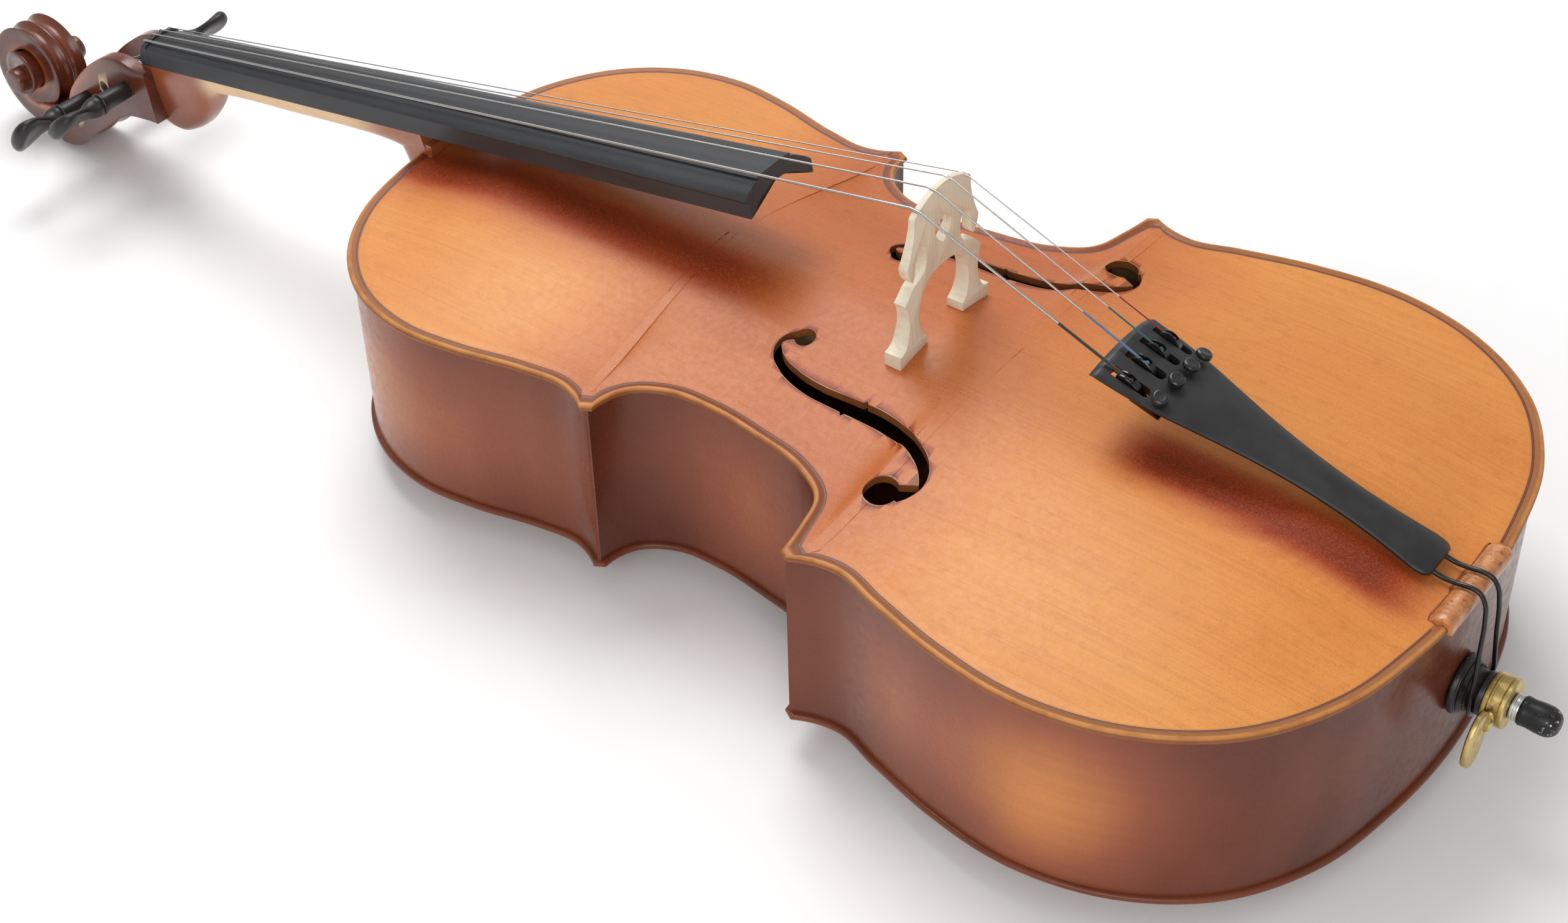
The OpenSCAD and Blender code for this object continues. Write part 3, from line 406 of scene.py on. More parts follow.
def plate_varnish():
    m = Mat("belly_varnish", rough=0.36, coat=0.03, coat_rough=0.28, spec=0.25)
    amber = m.attr("amber")
    rim = m.attr("rim")
    broad = m.noise((9, 4, 9), 3, 0.55)
    amber = m.sway(amber, broad, 0.35)
    speck = m.even(3, 0.75, 900)
    blotch = m.noise((1, 0.5, 1), 4, 0.6, 150)
    grain = m.noise((620, 3.2, 60), 3, 0.6)
    fine = m.noise((1700, 8, 60), 2, 0.5)
    base = m.ramp(amber, [(0.0, srgb(112, 34, 14)), (0.22, srgb(158, 60, 26)), (0.5, srgb(186, 100, 52)),
        (0.8, srgb(216, 134, 66)), (1.0, srgb(226, 154, 78))])
    base = m.tint(base, grain, 0.35, 0.75, 0.16, srgb(140, 66, 28))
    base = m.tint(base, fine, 0.5, 0.8, 0.09, srgb(110, 48, 20))
    base = m.tint(base, speck, 0.45, 0.75, 0.16, srgb(236, 176, 110))
    base = m.tint(base, speck, 0.5, 0.28, 0.18, srgb(86, 32, 14))
    base = m.tint(base, blotch, 0.5, 0.75, 0.12, srgb(110, 44, 20))
    dark = m.span(rim, 9.0, 5.4, 0, 0.62)
    base = m.mix(dark, base, srgb(84, 36, 20))
    # Painted highlight: patchy lighter amber along the crest of the rounded edge.
    painted_edge_highlight = m.times(m.span(rim, 3.6, 1.6), m.span(m.even(3, 0.6, 60), 0.3, 0.62, 0.45, 1.0))
    base = m.mix(m.times(painted_edge_highlight, 0.85), base, srgb(205, 138, 74))
    # Painted shade: darker on the edge's outer face and under the overhang.
    base = m.tint(base, rim, 0.9, 0.0, 0.75, srgb(110, 54, 28))
    return m.done(base, m.span(m.even(3, 0.6, 240), 0.3, 0.7, 0.27, 0.4),
        m.plus(m.times(grain, 0.5), m.times(speck, 0.35)), 0.22, 0.00012)


def rib_varnish(name, base_dark, base_light):
    m = Mat(name, rough=0.3, coat=0.05, coat_rough=0.2, spec=0.3)
    amber = m.attr("amber")
    broad = m.noise((12, 12, 7), 3, 0.55)
    amber = m.sway(amber, broad, 0.45)
    flame = m.noise((14, 14, 260), 2, 0.5, distort=0.4)
    speck = m.even(3, 0.7, 700)
    base = m.ramp(amber, [(0.0, base_dark), (0.5, srgb(146, 78, 50)), (1.0, base_light)])
    base = m.tint(base, flame, 0.4, 0.7, 0.1, srgb(104, 52, 32))
    base = m.tint(base, speck, 0.5, 0.8, 0.14, srgb(170, 100, 60))
    return m.done(base, m.span(m.even(3, 0.6, 180), 0.3, 0.7, 0.2, 0.34), speck, 0.08, 0.00008)


def raw_wood(name, tone, dark):
    m = Mat(name, rough=0.62, spec=0.35)
    grain = m.noise((600, 8, 600), 3, 0.6)
    big = m.noise((40, 40, 40), 3, 0.6)
    base = m.tint(tone, grain, 0.4, 0.7, 0.5, dark)
    base = m.tint(base, big, 0.4, 0.7, 0.25, dark)
    return m.done(base, None, grain, 0.3, 0.0002)


def bridge_maple():
    m = Mat("bridge_maple", rough=0.55, spec=0.35)
    grain = m.noise((900, 120, 60), 3, 0.6, rot=(0, math.radians(58), 0))
    fleck = m.noise((260, 900, 1500), 2, 0.5, rot=(0, math.radians(28), 0))
    big = m.noise((60, 60, 60), 3, 0.5)
    base = m.tint(srgb(228, 218, 196), grain, 0.42, 0.72, 0.5, srgb(205, 190, 160))
    base = m.tint(base, fleck, 0.55, 0.75, 0.3, srgb(188, 170, 138))
    base = m.tint(base, big, 0.4, 0.75, 0.25, srgb(236, 228, 210))
    return m.done(base, None, m.plus(grain, m.times(fleck, 0.5)), 0.22, 0.00012)


def black_wood(name, tone, light, rough, bump_k=0.2, grain_scale=(900, 10, 900)):
    m = Mat(name, rough=rough, spec=0.45)
    grain = m.noise(grain_scale, 3, 0.65)
    pores = m.noise((1, 0.06, 1), 3, 0.7, 1500)
    smudge = m.noise((26, 8, 26), 3, 0.55)
    base = m.tint(tone, grain, 0.4, 0.75, 0.5, light)
    base = m.tint(base, smudge, 0.4, 0.7, 0.4, light)
    return m.done(base, m.span(smudge, 0.3, 0.7, rough - 0.06, rough + 0.08), m.plus(grain, pores), bump_k,
        0.0001)


def plastic(name, tone, rough, coat=0.0):
    m = Mat(name, rough=rough, coat=coat, coat_rough=0.12)
    fine = m.even(2, 0.6, 1800)
    smudge = m.even(3, 0.6, 45)
    return m.done(m.tint(tone, smudge, 0.4, 0.7, 0.5, tuple(min(1, c * 1.7 + 0.004) for c in tone[:3])
        + (1,)), m.span(smudge, 0.3, 0.7, rough - 0.05, rough + 0.07), fine, 0.12, 0.00008)


def metal(name, tone, rough, turned=None, dirt=None, scratch=0.3):
    m = Mat(name, rough=rough, metal=1.0)
    if turned is None:
        lines = m.even(3, 0.6, 700)
    else:
        sc = [60, 60, 60]
        sc[turned] = 3200
        lines = m.noise(tuple(sc), 2, 0.6)
    patch = m.even(4, 0.65, 160)
    base = m.tint(tone, lines, 0.35, 0.7, 0.4, shade(tone, 0.62))
    if dirt:
        base = m.tint(base, patch, 0.5, 0.78, 0.75, dirt)
    return m.done(base, m.span(patch, 0.3, 0.7, rough - 0.08, rough + 0.18),
        m.plus(lines, m.times(patch, 0.6)), scratch, 0.0001)


def purfling_material():
    m = Mat("purfling", rough=0.42, coat=0.2, coat_rough=0.3)
    line = m.attr("line")
    wob = m.even(2, 0.5, 260)
    m.color(m.mix(line, srgb(128, 62, 32), m.mix(m.span(wob, 0.35, 0.7), srgb(44, 20, 14),
        srgb(76, 36, 22))))
    m.bump(wob, 0.1, 0.0001)
    return m.m


def rubber_material():
    m = Mat("tip_rubber", rough=0.42, spec=0.4)
    chips = m.voronoi((1, 1, 1), 620)
    patch = m.even(4, 0.7, 330)
    y = m.axis(1)
    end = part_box("endpin_tip")[0][1]
    worn = m.times(m.span(patch, 0.56, 0.62), m.span(y, end + 0.013, end + 0.003))
    worn = m.times(worn, m.span(chips, 0.55, 0.25))
    base = m.tint(srgb(20, 20, 21), patch, 0.4, 0.7, 0.5, srgb(38, 38, 39))
    return m.done(m.mix(worn, base, srgb(222, 224, 226)), m.span(patch, 0.3, 0.7, 0.3, 0.5), patch, 0.25,
        0.0002)


def collar_material():
    m = Mat("collar_black", rough=0.38, spec=0.5)
    patch = m.even(4, 0.65, 170)
    chip = m.even(2, 0.6, 420, loc=(0.31, 0.12, 0.77))
    base = m.tint(srgb(22, 20, 20), patch, 0.4, 0.7, 0.6, srgb(46, 42, 40))
    return m.done(m.mix(m.span(chip, 0.72, 0.76), base, srgb(190, 190, 188)),
        m.span(patch, 0.3, 0.7, 0.26, 0.46), m.plus(patch, chip), 0.25, 0.0002)


def saddle_material():
    m = Mat("saddle_wood", rough=0.34, coat=0.4, coat_rough=0.15)
    patch = m.even(4, 0.65, 110)
    chip = m.even(3, 0.7, 260)
    base = m.ramp(patch, [(0.3, srgb(150, 88, 44)), (0.5, srgb(190, 120, 66)), (0.7, srgb(206, 142, 88))])
    base = m.tint(base, chip, 0.58, 0.66, 0.75, srgb(120, 52, 26))
    base = m.tint(base, chip, 0.36, 0.3, 0.8, srgb(228, 190, 150))
    return m.done(base, None, m.plus(patch, chip), 0.45, 0.0004)


def string_material(name, pitch, tone):
    """Flat-wound wire: fine bands along the string, which runs nearly along Y."""
    m = Mat(name, rough=0.3, metal=1.0)
    band = m.wave((0, 1, 0), pitch, direction="Y", detail=0)
    patch = m.even(3, 0.6, 120)
    base = m.mix(m.span(band, 0.1, 0.6), shade(tone, 0.42), tone)
    base = m.tint(base, patch, 0.45, 0.75, 0.3, shade(tone, 0.6))
    return m.done(base, m.span(patch, 0.3, 0.7, 0.24, 0.4), band, 0.35, 0.0001)


def silk_material(name, tone, dark):
    m = Mat(name, rough=0.62, spec=0.4)
    m.s.inputs["Sheen Weight"].default_value = 0.4
    thread = m.wave((0.25, 1, 0.6), 950, distort=1.5, direction="Y", detail=1)
    patch = m.even(3, 0.6, 500)
    base = m.mix(m.span(thread, 0.25, 0.75), dark, tone)
    return m.done(m.tint(base, patch, 0.45, 0.7, 0.35, dark), None, thread, 0.5, 0.0002)


def neck_material():
    """Varnish at the heel and the head, bare maple at the grip."""
    m = Mat("neck_wood", rough=0.34, coat=0.3, coat_rough=0.22)
    bare = m.attr("bare")
    deep = m.attr("deep")
    broad = m.noise((30, 22, 30), 3, 0.55)
    speck = m.even(3, 0.7, 800)
    flame = m.noise((60, 260, 60), 2, 0.5, distort=0.3)
    grain = m.noise((900, 26, 900), 3, 0.6)
    var = m.ramp(m.sway(deep, broad, 0.5), [(0.0, srgb(70, 28, 16)), (0.4, srgb(112, 50, 28)),
        (0.75, srgb(154, 82, 42)), (1.0, srgb(196, 124, 66))])
    var = m.tint(var, speck, 0.5, 0.8, 0.15, srgb(200, 130, 80))
    wood = m.tint(srgb(232, 196, 152), grain, 0.4, 0.7, 0.4, srgb(202, 156, 108))
    wood = m.tint(wood, flame, 0.45, 0.7, 0.2, srgb(216, 170, 122))
    return m.done(m.mix(bare, var, wood), m.plus(0.27, m.times(bare, 0.14)),
        m.plus(m.times(grain, 0.5), m.times(flame, 0.3)), 0.16, 0.00014)


M = {"belly": plate_varnish(), "back": rib_varnish("back_varnish", srgb(58, 26, 18), srgb(150, 82, 42)),
    "rib": rib_varnish("rib_varnish", srgb(84, 38, 25), srgb(200, 126, 66)),
    "raw": raw_wood("raw_wood", srgb(200, 166, 118), srgb(160, 122, 78)), "bridge": bridge_maple(),
    "board": black_wood("blackened_board", srgb(42, 43, 46), srgb(58, 60, 63), 0.46),
    "peg": black_wood("peg_wood", srgb(26, 24, 24), srgb(50, 46, 45), 0.36, 0.25, (300, 60, 60)),
    "tail": plastic("tailpiece_plastic", srgb(30, 30, 31), 0.42),
    "lever": plastic("tuner_black", srgb(16, 16, 17), 0.2, 0.3),
    "knob": plastic("knob_black", srgb(20, 20, 21), 0.24, 0.3),
    "cord": plastic("cord_black", srgb(14, 14, 15), 0.3, 0.1),
    "steel": metal("steel", (0.62, 0.61, 0.6, 1), 0.28), "zinc": metal("zinc", (0.66, 0.68, 0.7, 1), 0.3,
    turned=1, dirt=(0.35, 0.35, 0.34, 1)), "brass": metal("brass", (0.66, 0.5, 0.2, 1), 0.34, turned=1,
    dirt=(0.3, 0.2, 0.08, 1), scratch=0.5), "purfling": purfling_material(), "rubber": rubber_material(),
    "collar": collar_material(), "saddle": saddle_material(), "neck": neck_material()}

# ---- outline and arching

LOWER = [(0, 0), (60, 5), (116, 18), (168, 50), (203, 102), (215.5, 159), (210, 213), (198, 259),
    (189, 290), (196.5, 318)]
WAIST = [(193, 324), (170, 328), (147, 335.5), (132, 358), (124, 394), (120, 432), (123, 461), (135, 480),
    (160.5, 487.5)]
UPPER = [(164, 494), (154.5, 516), (157, 545), (167, 590), (171, 632), (160, 677), (133, 714), (94, 739),
    (45, 751.5), (0, 755)]
STEPS = 14
# Half width that keeps the plates inside the CAD box
WIDEST = 215.47
lower = spline(LOWER, STEPS, first=(1, 0))
waist = spline(WAIST, STEPS)
upper = spline(UPPER, STEPS, last=(-1, 0))
n_lower = normals(lower, first=(1, 0))
n_waist = normals(waist)
n_upper = normals(upper, last=(-1, 0))
tip_lower = np.array([-1.25, -1.0])
tip_upper = np.array([-1.26, 0.81])
half = np.concatenate([lower, waist, upper])
nrm = np.concatenate([n_lower[:-1], [tip_lower, tip_lower], n_waist[1:-1], [tip_upper, tip_upper],
    n_upper[1:]])
# Close to a corner the inward direction turns over to the tip's own, so that drawn-in outlines stay clean.
for tip, at in ((tip_lower, len(lower) - 1), (tip_upper, len(lower) + len(waist) - 1)):
    for side in (-1, 1):
        for j in range(1, STEPS):
            i = at - j if side < 0 else at + 1 + j
            w = (1 - j / STEPS) ** 2
            nrm[i] = nrm[i] * (1 - w) + tip * w
LOOP = np.concatenate([half, (half * [-1, 1])[-2:0:-1]])
LOOP_N = np.concatenate([nrm, (nrm * [-1, 1])[-2:0:-1]])
LOOP[:, 0] = np.clip(LOOP[:, 0], -WIDEST, WIDEST)
NL = len(LOOP)

# Edge thickness, channel's width in from the edge and its height, and the plate's thickness
EDGE_T, CHANNEL, CHANNEL_Z, PLATE_T = 4.5, 12.0, 4.6, 5.0
# The purfling's distance in from the edge and its width
PURF_IN, PURF_W = 5.9, 1.4


def arch_z(f, y, top):
    crown = top - 6 * ((y - 377) / 270) ** 2
    return CHANNEL_Z + (crown - CHANNEL_Z) * (1 - np.cos(np.pi * np.clip(f, 0, 1) ** 0.8)) / 2


def inset_ring(d, z):
    p = LOOP + LOOP_N * d
    return np.c_[p, np.full(NL, z)]


def arch_ring(f, top, below=0.0):
    p = LOOP + LOOP_N * CHANNEL
    s = 377 + 270 * np.sin(np.pi / 2 * (p[:, 1] - 377) / 378)
    return np.c_[p[:, 0] * (1 - f), p[:, 1] * (1 - f) + s * f, arch_z(np.full(NL, f), s, top) - below]


def plate(name, top, material, mirror=False, amber=None):
    groove = EDGE_T - 0.5 - 0.35
    under = [arch_ring(f, top, PLATE_T) for f in (0.97, 0.8, 0.6, 0.4, 0.2)]
    edge = [(12, 0), (6, 0), (2.4, 0.0), (1.1, 0.25), (0.35, 0.85), (0.04, 1.7), (0.0, 2.4), (0.22, 3.3),
        (0.8, 4.1), (1.7, 4.55), (2.7, 4.62), (3.8, 4.42), (4.9, 4.12), (5.6, 4.0), (PURF_IN, 3.96),
        (PURF_IN + 0.02, groove), (PURF_IN + PURF_W - 0.02, groove), (PURF_IN + PURF_W, 3.96), (7.9, 3.98),
        (9.0, 4.08), (10.4, 4.28), (12, 4.6)]
    rings = under + [inset_ring(d, z) for d, z in edge]
    fr = [0.02, 0.045, 0.075, 0.11, 0.15, 0.195, 0.24, 0.29, 0.34, 0.4, 0.46, 0.52, 0.58, 0.64, 0.7, 0.76,
        0.82, 0.88, 0.94, 0.985]
    rings += [arch_ring(f, top) for f in fr]
    rim = [20.0] * 5 + [d for d, _ in edge] + [12 + 40 * f for f in fr]
    v = np.concatenate(rings)
    n = len(rings)
    faces = grid_faces(n, NL)
    h = len(half)

    def across(base, flip):
        """Closes an innermost ring across the centre line."""
        out = []
        for i in range(h - 1):
            a, b = i, i + 1
            c, d = (NL - b) % NL, (NL - a) % NL
            q = [base + a, base + b, base + c, base + d]
            q = list(dict.fromkeys(q))
            if len(q) > 2:
                out.append(tuple(reversed(q)) if flip else tuple(q))
        return out

    faces += across(0, False) + across((n - 1) * NL, True)
    attrs = {"rim": np.repeat(rim, NL), "amber": amber(v) if amber else np.full(len(v), 0.3)}
    if mirror:
        v = v * [1, 1, -1]
        v[:, 2] -= 120
    return add_mesh(name, v, faces, material, 32, attrs)


def band(x, start, end, soft):
    """1 between start and end, falling off softly outside."""
    return smooth(x, start - soft, start + soft) * (1 - smooth(x, end - soft, end + soft))


def belly_sunburst_and_shade(v):
    """Sunburst: amber bouts and a redder waist, with painted shadow and reflection of the board and the
    tailpiece darkening the middle and bands on their bass side.
    """
    x, y = v[:, 0], v[:, 1]
    low = 1 - smooth(y, 215, 330)
    up = smooth(y, 500, 590)
    # Lower bout darker down the middle: painted shadow and reflection of the tailpiece.
    low_level = 0.86 - 0.12 * np.exp(-(x / 45) ** 2)
    # Upper bout darker in the middle: painted shade under the board.
    up_level = 0.5 + 0.4 * smooth(np.abs(x), 35, 85)
    a = 0.55 * (1 - low - up) + low_level * low + up_level * up
    # Dark band on the bass side of the board: painted shadow and reflection of the board.
    a -= 0.38 * band(x, -50, -14, 9) * smooth(y, 430, 500)
    # Dark band on the bass side of the tailpiece: painted shadow and reflection of the tailpiece.
    a -= 0.72 * band(x, -46, -10, 9) * band(y, 30, 205, 22)
    return np.clip(a, 0.04, 1)


belly = plate("belly_plate", 27.0, M["belly"], amber=belly_sunburst_and_shade)

F_OUTER = [(-47, 420), (-54, 426), (-61, 427), (-68, 424), (-76, 413), (-83, 392), (-85, 368), (-86, 350),
    (-89, 328), (-96, 308), (-106, 293), (-114, 287)]
F_INNER = [(-130, 291), (-124, 287), (-114, 284.5), (-104, 287), (-95, 294), (-86, 308), (-79, 322),
    (-75, 338), (-74, 360), (-74, 385), (-71, 404), (-64, 420), (-59, 424), (-53, 417)]


def f_cutters(side):
    flip = np.array([side, 1])
    body = np.concatenate([spline(F_OUTER, 6), [(-119, 296.5), (-127.5, 303)], spline(F_INNER, 6)]) * flip
    out = [prism("f_cut", body, "z", -8, 60, None)]
    for c, r, n in (((-49.5, 414), 6.5, 40), ((-127.5, 303), 10.5, 48), ((-85.6, 361), 1.7, 4),
            ((-73.9, 352), 1.7, 4)):
        out.append(prism("f_cut", circle(c, r, n) * flip, "z", -8, 60, None))
    return out


cutters = f_cutters(1) + f_cutters(-1)
cutters.append(prism("root_cut", [(-22.1, 743.4), (22.1, 743.4), (22.1, 775), (-22.1, 775)], "z", -6, 30,
    None))
cutters.append(prism("saddle_cut", [(-37.1, -10), (37.1, -10), (37.1, 14.1), (-37.1, 14.1)], "z", -6, 30,
    None))
cut(belly, cutters)
belly.data.set_sharp_from_angle(angle=math.radians(32))
own(belly, "body", ["belly"])

back = plate("back_shell", 25.95, M["back"], mirror=True, amber=lambda v: 0.25 + 0.5
    * np.clip(1 - np.minimum(np.hypot(v[:, 0] / 200, (v[:, 1] - 175) / 160),
    np.hypot(v[:, 0] / 165, (v[:, 1] - 630) / 125)), 0, 1))
button = []
for z, grow in ((-120.0, -0.5), (-120.5, 0), (-124.0, 0), (-124.5, -0.5)):
    a = np.linspace(0, math.pi, 40)
    r = 17 + grow
    arc = np.c_[r * np.cos(a), 757 + r * np.sin(a), np.full(40, z)]
    button.append(np.concatenate([arc, [(-r, 752, z), (r, 752, z)]]))
button = loft("back_button", button, M["back"], 40)
for ob in (back, button):
    own(ob, "body", ["back_plate"])


def purfling(name, node, mirror, gaps):
    """Two dark lines with a lighter strip between, let into the groove; runs start and end at the gaps."""
    prof = [(PURF_IN + 0.03, 3.66), (PURF_IN + 0.03, 3.93), (PURF_IN + 0.36, 3.96), (PURF_IN + 0.44, 3.9),
        (PURF_IN + PURF_W - 0.44, 3.9), (PURF_IN + PURF_W - 0.36, 3.96), (PURF_IN + PURF_W - 0.03, 3.93),
        (PURF_IN + PURF_W - 0.03, 3.66)]
    line = [1, 1, 1, 0, 0, 1, 1, 1]
    rings = [inset_ring(d, z) for d, z in prof]
    keep = np.array([not any(x0 <= LOOP[i, 0] <= x1 and y0 <= LOOP[i, 1] <= y1 for x0, x1, y0, y1 in gaps)
        for i in range(NL)])
    runs = []
    if keep.all():
        runs = [np.r_[np.arange(NL), 0]]
    else:
        start = next(i for i in range(NL) if keep[i] and not keep[i - 1])
        order = np.roll(np.arange(NL), -start)
        run = []
        for i in order:
            if keep[i]:
                run.append(i)
            elif run:
                runs.append(np.array(run))
                run = []
        if run:
            runs.append(np.array(run))
    for k, run in enumerate(runs):
        loops = [np.array([r[i] for r in rings]) for i in run]
        if mirror:
            loops = [q * [1, 1, -1] - [0, 0, 120] for q in loops]
        closed = run[0] == run[-1]
        if closed:
            loops = loops[:-1]
        ob = loft(f"{name}_{k}", loops, M["purfling"], 30, attrs={"line": np.tile(line, len(loops))},
            closed=closed)
        own(ob, "body", [node])


purfling("belly_line", "belly_purfling", False, [(-26, 26, 740, 760), (-41, 41, -1, 12)])
purfling("back_line", "back_purfling", True, [])

# ---- ribs

OVER, RIB_T = 3.0, 1.8


def rib(name, node, pts, nr, side, sunburst_and_reflection_at):
    out = pts + nr * OVER
    inn = pts + nr * (OVER + RIB_T)
    zs = np.linspace(0, -120, 25)
    ln = np.r_[0, np.cumsum(np.linalg.norm(np.diff(out, axis=0), axis=1))]
    rings, am = [], []
    for i in range(len(pts)):
        o = np.c_[np.full(25, out[i, 0] * side), np.full(25, out[i, 1]), zs]
        q = np.c_[np.full(2, inn[i, 0] * side), np.full(2, inn[i, 1]), [-120, 0]]
        rings.append(np.concatenate([o, q]))
        along = ln[i] / ln[-1]
        # Lighter at mid height, fading towards the rib's top and bottom: partly sunburst, partly painted
        # reflection of the lights.
        v = np.exp(-((np.abs(zs + 60)) / 52) ** 2.2)
        am.append(np.r_[sunburst_and_reflection_at(along) * (0.25 + 0.75 * v), 0.3, 0.3])
    ob = loft(name, rings, M["rib"], 30, attrs={"amber": np.concatenate(am)})
    own(ob, "body", [node])


def lobe(base, *bumps):
    return lambda s: min(1.0, base + sum(a * math.exp(-((s - c) / w) ** 2) for c, w, a in bumps))


# Amber lobes along each rib: partly sunburst, partly painted reflection of the lights.
# Tips of the ribs end just inside the plates' corners.
for s, word in ((-1, "bass"), (1, "treble")):
    rib("rib_shell_lower_" + word, "rib_lower_" + word, lower, n_lower, s,
        lobe(0.12, (0.6, 0.12, 0.85), (0.82, 0.1, 0.4)))
    rib("rib_shell_waist_" + word, "rib_waist_" + word, waist, n_waist, s, lobe(0.08, (0.5, 0.22, 0.55)))
    rib("rib_shell_upper_" + word, "rib_upper_" + word, upper[:-STEPS // 2], n_upper[:-STEPS // 2], s,
        lobe(0.35, (0.6, 0.25, 0.5)))

# ---- neck and heel

NECK_TILT = math.radians(10.54)
NUT_U, BOARD_END_U = 282.7, -293.3


def neck_pts(x, u, h):
    """Points given across, along and above the neck's gluing plane."""
    x, u, h = np.broadcast_arrays(np.asarray(x, float), u, h)
    c, s = math.cos(NECK_TILT), math.sin(NECK_TILT)
    return np.stack([x, 755 + u * c + h * s, 18.7 - u * s + h * c], -1)


BOARD_LEN = 576
NUT_HALF = 16.5


def board_half(u):
    return 31 + (NUT_HALF - 31) * (u - BOARD_END_U) / BOARD_LEN


def set_attr(ob, key, fn):
    """Stores fn of every vertex, given in the body's millimetres, as a float on the mesh."""
    me = ob.data
    co = np.empty(len(me.vertices) * 3)
    me.vertices.foreach_get("co", co)
    v = co.reshape(-1, 3) * 1000 - np.array([0, -MID, REST])
    a = me.attributes.get(key) or me.attributes.new(key, "FLOAT", "POINT")
    a.data.foreach_set("value", np.asarray(fn(v), np.float32))


GRIP = [(-4, 30, 0.9), (14, 27, 0.9), (30, 20, 0.8), (46, 16, 0.7), (66, 13.8, 0.6), (130, 13, 0.6),
    (208, 13, 0.6), (222, 14.4, 0.6), (230, 18.5, 0.62), (236, 27, 0.68), (243, 37, 0.72), (254, 47, 0.76),
    (270, 55, 0.8), (286, 58.6, 0.8), (294.7, 56, 0.8)]
grip = spline(GRIP, 6)
grip_rings = []
for u, deep, square in grip:
    a = np.linspace(0, math.pi, 41)
    x = -(board_half(u) - 0.2) * np.sign(np.cos(a)) * np.abs(np.cos(a)) ** square
    grip_rings.append(neck_pts(x, u, -0.05 - deep * np.sin(a) ** square))
grip = loft("neck_grip", grip_rings, M["neck"], 38)

HEEL = [(12, 22, 46), (2, 22, 36), (-10, 21.8, 27), (-28, 21, 20), (-55, 19.5, 16), (-85, 18, 15),
    (-105, 17, 17), (-119.9, 16.4, 19.5)]
heel_rings = []
for z, wide, out in spline(HEEL, 6):
    a = np.linspace(0, math.pi, 33)
    arc = np.c_[wide * np.cos(a), 752 + (out + 3) * np.sin(a) ** 0.8, np.full(33, z)]
    top = 18.7 + (755 - arc[:, 1]) * math.tan(NECK_TILT) - 0.3
    arc[:, 2] = np.minimum(arc[:, 2], top)
    zz = min(z, top[0])
    heel_rings.append(np.concatenate([[(wide, 743.6, zz)], arc, [(-wide, 743.6, zz)]]))
heel = loft("neck_heel", heel_rings, M["neck"], 40)


def bare_at(v):
    u = (v[:, 1] - 755) * math.cos(NECK_TILT) - (v[:, 2] - 18.7) * math.sin(NECK_TILT)
    return smooth(u, 22, 74) * (1 - smooth(u, 214, 238))


for ob in (grip, heel):
    set_attr(ob, "bare", bare_at)
    set_attr(ob, "deep", lambda v: 0.42 + 0.3 * smooth(v[:, 2], -110, -10))
    own(ob, "body", ["neck"])

# ---- head

EYE = np.array([1186.0, -94.0])
EYE_HALF = 33.0


def scroll_point(t, grow=1.0):
    r = 43.42 * math.exp(-0.275 * t - 0.17 * t * t) * grow
    a = math.radians(360 * t - 100)
    return EYE + r * np.array([math.cos(a), math.sin(a)])


# Along the head: outside and inside of its side view, half width, share of the depth hollowed out
HEAD = [((1029, -77), (1034, -35.5), 24.5, 0), ((1046, -78), (1046.3, -35.5), 25.6, 0),
    ((1060, -81), (1059, -33.3), 25.8, 0.72), ((1076, -91), (1074.5, -36.2), 25.2, 0.72),
    ((1092, -103.5), (1094.6, -48.8), 24.1, 0.75), ((1107, -115), (1114.4, -66), 22.9, 0.76),
    ((1121, -128), (1129, -83), 22.0, 0.7), ((1138, -139.5), (1142, -104), 21.3, 0.3),
    ((1156, -143), (1151.5, -112), 21.0, 0),]
head_o = spline([h[0] for h in HEAD] + [scroll_point(0)], 10)[:-10]
head_i = spline([h[1] for h in HEAD] + [scroll_point(1, 0.9)], 10)[:-10]
share = np.linspace(0, len(HEAD) - 1, len(head_o))
head_w = np.interp(share, range(len(HEAD)), [h[2] for h in HEAD])
head_c = np.interp(share, range(len(HEAD)), [h[3] for h in HEAD])
head_c = np.where((share > 1.05) & (share < 7.0), np.maximum(head_c, 0.3), 0)
head_c[share > 7.0] = 0
rows = [(o, i, w, c) for o, i, w, c in zip(head_o, head_i, head_w, head_c)]
TURN_END = 2.3
# Half width of the scroll after so many turns
SCROLL_TURNS = [0, 0.5, 0.9, 1.4, 2.0, 2.3]
SCROLL_HALF = [17.5, 13.8, 15.0, 21.0, 28.0, 31.5]
join_rows = 8
for k in range(1, join_rows):
    f = k / join_rows
    o = (1 - f) * np.array(HEAD[-1][0]) + f * scroll_point(0)
    i = (1 - f) * np.array(HEAD[-1][1]) + f * scroll_point(1, 0.9)
    rows.append((o, i, (1 - f) * HEAD[-1][2] + f * SCROLL_HALF[0], 0))
for t in np.linspace(0, TURN_END, 116):
    rows.append((scroll_point(t), scroll_point(t + 1, 0.93), float(np.interp(t, SCROLL_TURNS, SCROLL_HALF)),
        0))

